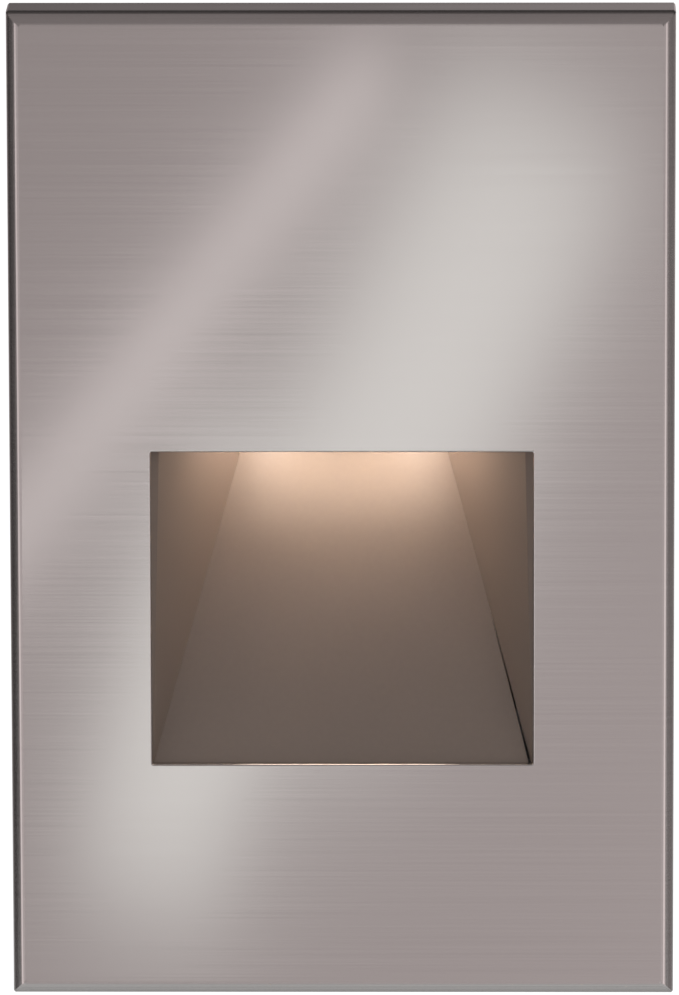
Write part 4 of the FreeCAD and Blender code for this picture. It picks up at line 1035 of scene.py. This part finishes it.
@dataclass
class Fasteners:
    """What holds the plate: studs with washers and nuts, threaded inserts and their set screws."""

    stud_x: float = 22.0
    stud_heights: tuple[float, float] = (-41.0, 39.1)
    plate_back: float = -7.3
    stud_radius: float = 1.5
    stud_weld: Profile = ((0, 2.1), (0.5, 2.1), (0.6, 1.5))
    stud_thread: tuple[float, float] = (1.0, 5.1)
    stud_tip: Station = (5.4, 1.1)
    washer: float = -4.5
    washer_ring: Profile = ((0, 3.1), (0.1, 3.2), (0.4, 3.2), (0.5, 3.1))
    washer_bore: float = 1.6
    nut: float = -4.0
    nut_radius: float = 3.1
    nut_height: float = 1.8
    nut_ease: float = 0.25
    nut_bore: Profile = ((0, 2.6), (1.3, 1.52), (2.6, 1.52), (3.8, 2.6))
    screw_y: float = -4.1
    plate_half: float = 42.5
    sunk: float = 0.2
    insert: Profile = ((0, 2.05), (0.15, 2.2), (1.0, 2.2), (1.0, 2.65), (1.1, 2.75), (4.5, 2.75), (4.6, 2.65))
    insert_bore: float = 1.54
    screw_head: Profile = ((0, 1.2), (0.3, 1.5))
    screw_thread: tuple[float, float] = (0.4, 7.4)
    screw_radius: float = 1.5
    screw_tip: Station = (8.0, 0.9)
    socket: float = 0.85

    def _moves(self) -> list[Triple]:
        """Return the way from the first stud to each of the other three."""
        rise = self.stud_heights[1] - self.stud_heights[0]
        return [(2 * self.stud_x, 0, 0), (0, 0, rise), (2 * self.stud_x, 0, rise)]

    def build_studs(self) -> None:
        """Make the studs, the washers and the nuts, one of each and three copies."""
        x, z = -self.stud_x, self.stud_heights[0]
        stations = (*self.stud_weld, *thread(*self.stud_thread, self.stud_radius), self.stud_tip)
        stud = Workpiece.turned("threaded_studs", (x, self.plate_back, z), (0, 1, 0), stations, 32)
        stud.repeat(self._moves()).finish(LIGHT, STAINLESS, "plate_studs")
        ring = Workpiece.turned("washers", (x, self.washer, z), (0, 1, 0), self.washer_ring)
        ring.cut(Workpiece.rod("bore", (x, self.washer - 1, z), (0, 1, 0), self.washer_bore, 3))
        ring.repeat(self._moves()).finish(LIGHT, STAINLESS, "stud_washers")
        edge, tall, ease = self.nut_radius, self.nut_height, self.nut_ease
        stations = ((0, edge - ease), (0.2, edge), (tall - 0.2, edge), (tall, edge - ease))
        nut = Workpiece.turned("hex_nuts", (x, self.nut, z), (0, 1, 0), stations, 6)
        nut.cut(Workpiece.turned("bore", (x, self.nut - 1, z), (0, 1, 0), self.nut_bore, 32))
        nut.repeat(self._moves()).finish(LIGHT, STAINLESS, "stud_nuts")

    def build_set_screws(self) -> None:
        """Make the two inserts, and a threaded set screw with a hexagon socket in each."""
        inserts = []
        for word, side in (("left", -1), ("right", 1)):
            inward, outermost = (-side, 0, 0), side * (self.plate_half - self.sunk)
            foot, outside = (outermost, self.screw_y, 0), (outermost + side, self.screw_y, 0)
            insert = Workpiece.turned(f"insert_{word}", foot, inward, self.insert, 48)
            insert.cut(Workpiece.rod("bore", outside, inward, self.insert_bore, 8))
            inserts.append(insert)
            stations = (*self.screw_head, *thread(*self.screw_thread, self.screw_radius), self.screw_tip)
            screw = Workpiece.turned(f"set_screw_{word}", foot, inward, stations, 32)
            screw.cut(Workpiece.rod("socket", outside, inward, self.socket, 3, 6))
            screw.finish(f"{word}_screw", STAINLESS, f"{word}_set_screw")
        for insert in inserts:
            insert.finish(LIGHT, STAINLESS, "screw_inserts")


@dataclass
class Bracket:
    """The zinc-plated frame that stays on the wall box, with its earth screw."""

    half_width: float = 34.3
    half_height: float = 54.0
    corner: float = 2.0
    sheet: float = 1.2
    bend_share: float = 0.95
    ease: float = 0.12
    ear_front: float = -6.4
    ear_half: float = 9.0
    ear_corner: float = 1.5
    relief: float = 0.6
    tab: tuple[float, float] = (-22.0, -10.0)
    earth: tuple[float, float] = (-16.0, -3.8)
    earth_radius: float = 1.95
    hole_z: float = 41.65
    hole: float = 2.0
    cut_half: float = 27.98
    cut_low: float = -37.6
    cut_high: float = 35.7
    cut_corner: float = 1.5
    screw_drop: float = 2.4
    screw_head: Profile = ((0, 2.1), (0.3, 2.5), (1.9, 2.5))
    screw_flange: Profile = ((1.7, 2.5), (2.0, 2.95), (2.4, 3.0))
    screw_end: float = 8.8
    screw_tip: Station = (9.4, 1.3)
    pitch: float = 0.7
    thread_depth: float = 0.2
    slot_half: float = 0.4
    slot_depth: float = 0.9

    def _fold(self, low: Triple, high: Triple, outside: Test, across: int) -> Workpiece:
        """Make one folded ear or tab.

        Args:
            low: Its lowest corner.
            high: Its highest corner.
            outside: A test for the edges on its outer side, where its bend is rounded.
            across: The axis through its sheet, along which its free corners are rounded.

        Returns:
            The new workpiece.
        """
        fold = Workpiece.block("fold", low, high)
        fold.edges(both(level(1, 0), outside), bevel(self.sheet * self.bend_share, 6))
        return fold.edges(both(level(1, self.ear_front), along(across)), bevel(self.ear_corner, 5))

    def _ears(self, steel: Workpiece) -> None:
        """Relieve the bends of the two ears, and fold them.

        Args:
            steel: The flat frame.
        """
        half, sheet = self.half_width, self.sheet
        for side in (-1, 1):
            start, end = span(side, half - sheet, half + 1)
            gap = self.ear_half + self.relief
            steel.cut(Workpiece.block("relief", (start, -3, -gap), (end, 3, gap)))
            start, end = span(side, half - sheet, half)
            low, high = (start, self.ear_front, -self.ear_half), (end, 0, self.ear_half)
            steel.add(self._fold(low, high, level(0, side * half), 0))

    def build_frame(self) -> None:
        """Make the frame: cut out, drilled, relieved at its bends, and folded."""
        half, high, sheet = self.half_width, self.half_height, self.sheet
        steel = Workpiece.block("steel_bracket", (-half, -sheet, -high), (half, 0, high))
        steel.edges(along(1), bevel(self.corner, 6))
        low = (-self.cut_half, -3, self.cut_low)
        opening = Workpiece.block("opening", low, (self.cut_half, 3, self.cut_high))
        steel.cut(opening.edges(along(1), bevel(self.cut_corner, 6)))
        for height in (-self.hole_z, self.hole_z):
            steel.cut(Workpiece.rod("box_hole", (0, -3, height), (0, 1, 0), self.hole, 6))
        self._ears(steel)
        left, right = self.tab
        low, top = (left - self.relief, -3, -high - 1), (right + self.relief, 3, -high + sheet)
        steel.cut(Workpiece.block("relief", low, top))
        x, y = self.earth
        low, top = (left, self.ear_front, -high), (right, 0, -high + sheet)
        steel.add(self._fold(low, top, level(2, -high), 2))
        steel.cut(Workpiece.rod("earth_hole", (x, y, -high - 2), (0, 0, 1), self.earth_radius, 6))
        steel.clean()
        steel.soften(self.ease)
        steel.finish(BRACKET, ZINC_STEEL, "mounting_bracket")

    def build_earth_screw(self) -> None:
        """Make the green earth screw: a slotted hexagon head on a flange, and a threaded shank."""
        x, y = self.earth
        foot = (x, y, -self.half_height - self.screw_drop)
        screw = Workpiece.turned("earth_screw", foot, (0, 0, 1), self.screw_head, 6)
        shank = thread(self.screw_drop, self.screw_end, self.earth_radius, self.pitch, self.thread_depth)
        stations = (*self.screw_flange, *shank, self.screw_tip)
        screw.add(Workpiece.turned("flange", foot, (0, 0, 1), stations, 40))
        low = (x - 4, y - self.slot_half, foot[2] - 1)
        high = (x + 4, y + self.slot_half, foot[2] + self.slot_depth)
        screw.cut(Workpiece.block("slot", low, high))
        screw.finish(BRACKET, EARTH_GREEN, "ground_screw")


@dataclass
class Seals:
    """The foam ring that seals the plate against the wall."""

    outer_x: float = 41.15
    outer_z: float = 62.65
    front: float = -7.15
    width: float = 3.2
    notch: float = 3.4
    notch_back: float = -0.7
    weep_half: float = 4.0
    weep_front: float = -2.0
    ease: float = 0.25

    def build(self) -> None:
        """Make the wall gasket with its notches."""
        inner_x, inner_z = self.outer_x - self.width, self.outer_z - self.width
        low = (-self.outer_x, self.front, -self.outer_z)
        ring = Workpiece.block("foam_gasket", low, (self.outer_x, 0, self.outer_z))
        ring.cut(Workpiece.block("middle", (-inner_x, -10, -inner_z), (inner_x, 3, inner_z)))
        ring.cut(Workpiece.block("notch", (-60, -10, -self.notch), (60, self.notch_back, self.notch)))
        low = (-self.weep_half, self.weep_front, -70)
        ring.cut(Workpiece.block("weep", low, (self.weep_half, 3, -inner_z + 2)))
        ring.clean()
        ring.soften(self.ease, segments=3)
        ring.finish(LIGHT, FOAM, "wall_gasket")


@dataclass
class Window:
    """The frosted lens over the recess, its retainer and the retainer's screws."""

    lens_half: float = 17.47
    lens: tuple[float, float] = (-0.5, 21.5)
    under: float = 8.8
    top: float = 11.3
    lens_round: float = 0.35
    retainer_half: float = 20.47
    retainer: tuple[float, float] = (-4.3, 26.0)
    sheet: float = 1.0
    corner: float = 1.2
    ease: float = 0.12
    view_half: float = 13.57
    view: tuple[float, float] = (1.9, 14.5)
    view_corner: float = 0.6
    hole: float = 1.2
    screw_x: float = 10.97
    screw_places: tuple[float, float] = (-2.2, 23.9)
    screw_end: float = 6.4
    screw_radius: float = 1.0
    pitch: float = 0.4
    thread_depth: float = 0.1
    head_radius: float = 1.87
    head: float = 1.1
    socket: float = 0.8

    def build_lens(self) -> None:
        """Make the lens, with its ground edges."""
        low, high = (-self.lens_half, self.lens[0], self.under), (self.lens_half, self.lens[1], self.top)
        glass = Workpiece.rounded("lens_glass", low, high, self.lens_round, 4)
        glass.finish(LIGHT, FROSTED_GLASS, "lens")

    def build_retainer(self) -> None:
        """Make the retainer: a blanked sheet with rounded corners and one window."""
        low = (-self.retainer_half, self.retainer[0], self.under - self.sheet)
        sheet = Workpiece.block("lens_frame", low, (self.retainer_half, self.retainer[1], self.under))
        sheet.edges(along(2), bevel(self.corner, 5))
        low, high = (-self.view_half, self.view[0], 5), (self.view_half, self.view[1], 12)
        sheet.cut(Workpiece.block("view", low, high).edges(along(2), bevel(self.view_corner, 4)))
        for x in (-self.screw_x, self.screw_x):
            for y in self.screw_places:
                sheet.cut(Workpiece.rod("hole", (x, y, 5), (0, 0, 1), self.hole, 8))
        sheet.clean()
        sheet.soften(self.ease)
        sheet.finish(LIGHT, STAINLESS, "lens_retainer")

    def build_screws(self) -> None:
        """Make one small pan-head screw, and copy it to the other three places."""
        front, back = self.screw_places
        top = self.under - self.sheet - self.head
        radius, foot = self.head_radius, (-self.screw_x, front, top)
        shank = thread(self.head, self.screw_end, self.screw_radius, self.pitch, self.thread_depth)
        stations = ((0, radius * 0.65), (0.2, radius * 0.88), (0.5, radius), (self.head, radius), *shank)
        screw = Workpiece.turned("retainer_pan_screws", foot, (0, 0, 1), stations, 32)
        screw.cut(Workpiece.rod("socket", (foot[0], foot[1], top - 0.5), (0, 0, 1), self.socket, 1.1, 6))
        across = 2 * self.screw_x
        screw.repeat([(across, 0, 0), (0, back - front, 0), (across, back - front, 0)])
        screw.finish(LIGHT, STAINLESS, "retainer_screws")


@dataclass
class Driver:
    """The mains driver: its board, and the larger parts on it."""

    half: float = 20.97
    ends: tuple[float, float] = (-3.6, 29.2)
    under: float = 20.1
    top: float = 21.7
    high: float = 29.7
    corner: float = 1.2
    ease: float = 0.1
    hole_x: float = 18.37
    hole_places: tuple[float, float] = (-0.6, 22.5)
    hole_radius: float = 1.2
    lead_x: float = 0.9
    lead_y: float = 16.8
    lead_hole: float = 0.6
    core: tuple[float, float, float, float] = (-15.47, -3.47, 1.5, 14.0)
    core_round: float = 0.3
    winding: float = 1.5
    winding_round: float = 1.4
    capacitor_x: tuple[float, float] = (0.93, 8.73)
    capacitor_y: float = 5.0
    capacitor_radius: float = 3.4

    def build_board(self) -> None:
        """Make the board with its rounded corners and drilled mounting holes."""
        front, back = self.ends
        board = Workpiece.block("circuit_board", (-self.half, front, self.under), (self.half, back, self.top))
        board.edges(along(2), bevel(self.corner, 5))
        for x in (-self.hole_x, self.hole_x):
            for y in self.hole_places:
                board.cut(Workpiece.rod("hole", (x, y, self.under - 2), (0, 0, 1), self.hole_radius, 6, 32))
        for x in (-self.lead_x, self.lead_x):
            foot = (x, self.lead_y, self.under - 2)
            board.cut(Workpiece.rod("lead_hole", foot, (0, 0, 1), self.lead_hole, 6, 24))
        board.clean()
        board.soften(self.ease)
        board.finish(LIGHT, BOARD_GREEN, "driver_board")

    def build_transformer(self) -> None:
        """Make the transformer: a ferrite core, and the winding that bulges from its front and back."""
        left, right, front, back = self.core
        inset, top = self.winding, self.high
        low = (left, front + inset, self.top)
        core = Workpiece.rounded("transformer_core", low, (right, back - inset, top), self.core_round)
        for y in (front + inset, back - inset):
            low, high = (left + 1.8, y - 1.2, self.top - 1), (right - 1.8, y + 1.2, top - 1.4)
            core.cut(Workpiece.rounded("flank", low, high, self.core_round))
        core.finish(LIGHT, BLACK_PLASTIC)
        low, high = (left + 2, front, self.top + 0.2), (right - 2, back, top - 1.6)
        coil = Workpiece.rounded("transformer_winding", low, high, self.winding_round, 6)
        coil.finish(LIGHT, COPPER, "driver_transformer")

    def build_capacitors(self) -> None:
        """Make one sleeved capacitor with its crimped rim, and copy it."""
        first, second = self.capacitor_x
        wide, tall = self.capacitor_radius, self.high - self.top
        stations = ((0, wide - 0.3), (0.25, wide), (0.9, wide), (1.15, wide - 0.3), (1.4, wide),
                    (tall - 0.45, wide), (tall - 0.1, wide - 0.3), (tall, wide - 0.6),
                    (tall - 0.15, wide - 0.8), (tall - 0.15, 0.3))
        can = Workpiece.turned("capacitors", (first, self.capacitor_y, self.top), (0, 0, 1), stations, 48)
        can.repeat([(second - first, 0, 0)]).finish(LIGHT, CAPACITOR_SLEEVE, "driver_capacitors")


# ---------------------------------------------------------------- studio


@dataclass(frozen=True)
class Lamp:
    """One soft lamp. Places are millimetres."""

    name: str
    place: Triple
    aim: Triple
    width: float
    height: float
    watts: float
    colour: Triple = (1.0, 1.0, 1.0)
    roll: float = 0.0
    body: str = ""
    mirrored: bool = True

    def build(self) -> None:
        """Hang the lamp, and tie it to its body if it is the light's own."""
        data = bpy.data.lights.new(self.name, "AREA")
        data.shape = "RECTANGLE"
        data.size, data.size_y = self.width * MM, self.height * MM
        data.energy = self.watts
        data.color = self.colour
        lamp = bpy.data.objects.new(self.name, data)
        bpy.context.scene.collection.objects.link(lamp)
        towards = Vector(self.aim) - Vector(self.place)
        lamp.location = Vector(self.place) * MM
        lamp.rotation_mode = "QUATERNION"
        turn = Quaternion((0, 0, 1), math.radians(self.roll))
        lamp.rotation_quaternion = towards.to_track_quat("-Z", "Y") @ turn
        lamp.visible_camera = False
        lamp.visible_glossy = self.mirrored
        if self.body:
            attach(lamp, self.body)


LAMPS = (
    Lamp("key", (500, -1300, 1100), (0, 0, 0), 900, 900, 4.0, mirrored=False),
    Lamp("narrow_strip", (-26.7, -138.5, -2.4), (-26.7, 0, -2.4), 100, 5, 0.00162, ROSY, roll=52.5),
    Lamp("broad_strip", (8.4, -208.5, -24.3), (8.4, 0, -24.3), 95, 30, 0.0063, COOL, roll=64.5),
    Lamp("low_strip", (-23.2, -208.5, -65.8), (-23.2, 0, -65.8), 70, 22, 0.0039, COOL, roll=74.0),
    Lamp("left_wash", (-11.5, 1, 7), (-30, 1, 7), 12, 1.2, 0.0011, WARM, body=LIGHT, mirrored=False),
    Lamp("right_wash", (11.5, 1, 7), (30, 1, 7), 12, 1.2, 0.0008, WARM, body=LIGHT, mirrored=False),
    Lamp("left_glow", (-9.5, 13.5, 7.7), (-9.5, 13.5, 0), 4, 4, 0.0011, WARM, body=LIGHT, mirrored=False),
    Lamp("right_glow", (9.5, 13.5, 7.7), (9.5, 13.5, 0), 4, 4, 0.0011, WARM, body=LIGHT, mirrored=False),
)


@dataclass(frozen=True)
class Studio:
    """Camera, floor and world."""

    camera_place: Triple = (18.6, -1416.0, 284.0)
    camera_aim: Triple = (-0.3, -8.5, 1.32)
    camera_roll: float = -0.15
    lens: float = 406.8
    floor_drop: float = -300.0
    floor_place: float = 1.2
    floor_size: tuple[float, float] = (1.6, 3.4)
    ambient: float = 0.55
    tint: Triple = (1.08, 0.958, 0.956)
    round_about: tuple[tuple[float, float], ...] = (
        (-180, 0.33), (-176, 0.1), (-166, 0.4), (-150, 0.75), (-130, 0.15), (-100, 0.06), (-60, 0.08),
        (-44, 0.2), (-38, 1.0), (-26, 1.0), (-18, 0.45), (-1, 0.45), (2.5, 0.63), (18, 0.5), (26, 1.1),
        (38, 1.1), (46, 0.3), (60, 0.22), (100, 0.24), (130, 0.3), (150, 0.8), (165, 0.46), (173, 0.44),
        (180, 0.33))
    above: float = 0.25
    above_behind: float = 0.07
    horizon: tuple[float, float] = (-0.17, -0.05)
    behind_reach: float = 0.4
    behind_lift: float = 0.3
    floor_tone: float = 0.86
    floor_white: float = 0.6
    floor_mirrored: float = 0.05

    def _shade(self, brightness: float) -> tuple[float, ...]:
        """Tint one brightness of the room."""
        return (*(brightness * share for share in self.tint), 1)

    def camera(self) -> None:
        """Stand the camera where the picture was taken from."""
        data = bpy.data.cameras.new("camera")
        data.lens = self.lens
        camera = bpy.data.objects.new("camera", data)
        bpy.context.scene.collection.objects.link(camera)
        camera.location = Vector(self.camera_place) * MM
        towards = Vector(self.camera_aim) - Vector(self.camera_place)
        camera.rotation_mode = "QUATERNION"
        turn = Quaternion((0, 0, 1), math.radians(self.camera_roll))
        camera.rotation_quaternion = towards.to_track_quat("-Z", "Y") @ turn
        bpy.context.scene.camera = camera

    def world(self) -> None:
        """Make the world: white to the camera, a darker room in reflections, soft light for the rest."""
        world = bpy.data.worlds.new("studio")
        world.use_nodes = True
        bpy.context.scene.world = world
        graph = Graph(world.node_tree)
        path = graph.add("LightPath").outputs
        way = graph.add("SeparateXYZ", None, Vector=graph.add("TexCoord").outputs["Generated"]).outputs
        bearing = graph.math("ARCTAN2", way[0], graph.math("MULTIPLY", way[1], -1.0))
        turn = graph.add("MapRange", None, Value=bearing, From_Min=-math.pi, From_Max=math.pi).outputs[0]
        ramp = graph.add("ValToRGB", None, Fac=turn)
        stops = ramp.color_ramp.elements
        stops.remove(stops[1])
        for number, (degrees, brightness) in enumerate(self.round_about):
            stop = stops.new((degrees + 180) / 360) if number else stops[0]
            stop.color = self._shade(brightness)
        behind = graph.add("MapRange", None, Value=way[1], From_Min=0.0,
                           From_Max=self.behind_reach).outputs[0]
        ceiling = graph.add("Mix", {"data_type": "RGBA"}, n0=behind, n6=self._shade(self.above),
                            n7=self._shade(self.above_behind)).outputs[2]
        height = graph.math("SUBTRACT", way[2], graph.math("MULTIPLY", behind, self.behind_lift))
        low, high = self.horizon
        lifted = graph.add("MapRange", None, Value=height, From_Min=low, From_Max=high).outputs[0]
        room = graph.add("Mix", {"data_type": "RGBA"}, n0=lifted, n6=ramp.outputs[0], n7=ceiling).outputs[2]
        glossy = graph.add("Mix", {"data_type": "RGBA"}, n0=path["Is Glossy Ray"],
                           n6=(*[self.ambient] * 3, 1), n7=room).outputs[2]
        white = graph.math("MAXIMUM", path["Is Camera Ray"], path["Is Transmission Ray"])
        colour = graph.add("Mix", {"data_type": "RGBA"}, n0=white, n6=glossy, n7=(1, 1, 1, 1)).outputs[2]
        surface = graph.add("Background", None, Color=colour, Strength=1.0).outputs[0]
        graph.add("OutputWorld", None, Surface=surface)

    def floor(self) -> None:
        """Lay the pale floor, well below the wall light."""
        deselect_all()
        bpy.ops.mesh.primitive_plane_add(size=1, location=(0, self.floor_place, self.floor_drop * MM))
        floor = bpy.context.active_object
        floor.name = "floor"
        floor.scale = (*self.floor_size, 1)
        material = bpy.data.materials.new("pale_floor")
        material.use_nodes = True
        graph = Graph(material.node_tree)
        path = graph.add("LightPath").outputs
        seen = graph.math("MAXIMUM", path["Is Camera Ray"], path["Is Transmission Ray"])
        mirrored = graph.math("MULTIPLY", path["Is Glossy Ray"], self.floor_mirrored)
        strength = graph.math("MULTIPLY", graph.math("ADD", seen, mirrored), self.floor_white)
        plain = graph.add("BsdfDiffuse", None, Color=(*[self.floor_tone] * 3, 1)).outputs[0]
        white = graph.add("Emission", None, Color=(1, 1, 1, 1), Strength=strength).outputs[0]
        pale = graph.add("AddShader", None, n0=plain, n1=white).outputs[0]
        below = graph.add("NewGeometry").outputs["Backfacing"]
        clear = graph.add("BsdfTransparent").outputs[0]
        surface = graph.add("MixShader", None, n0=below, n1=pale, n2=clear).outputs[0]
        graph.add("OutputMaterial", None, Surface=surface)
        floor.data.materials.append(material)

    def build(self) -> None:
        """Set up the whole studio."""
        bpy.context.scene.view_settings.view_transform = "Standard"
        self.camera()
        self.world()
        self.floor()
        for lamp in LAMPS:
            lamp.build()


def dress_nodes() -> None:
    """Give every node of the frame the finish of its slot."""
    looks = {finish.name: finish for finish in FINISHES}
    for row in frame["record"]["subparts"]:
        node = frame["nodes"][row["node"]]
        node.data.materials.clear()
        node.data.materials.append(looks[row["material_slot"]].material())


def main() -> None:
    """Build the light's looks around the frame."""
    logging.basicConfig(level=logging.INFO, format="%(message)s")
    Studio().build()
    dress_nodes()
    FacePlate().build()
    scoop, cover, fasteners, bracket, window = Scoop(), RearCover(), Fasteners(), Bracket(), Window()
    scoop.build_slope()
    scoop.build_cheek(-1)
    scoop.build_cheek(1)
    Housing().build()
    cover.build_cover()
    cover.build_screws()
    cover.build_bushing()
    fasteners.build_studs()
    fasteners.build_set_screws()
    bracket.build_frame()
    bracket.build_earth_screw()
    Seals().build()
    driver = Driver()
    driver.build_board()
    driver.build_transformer()
    driver.build_capacitors()
    window.build_lens()
    window.build_retainer()
    window.build_screws()


if __name__ == "__main__":
    main()
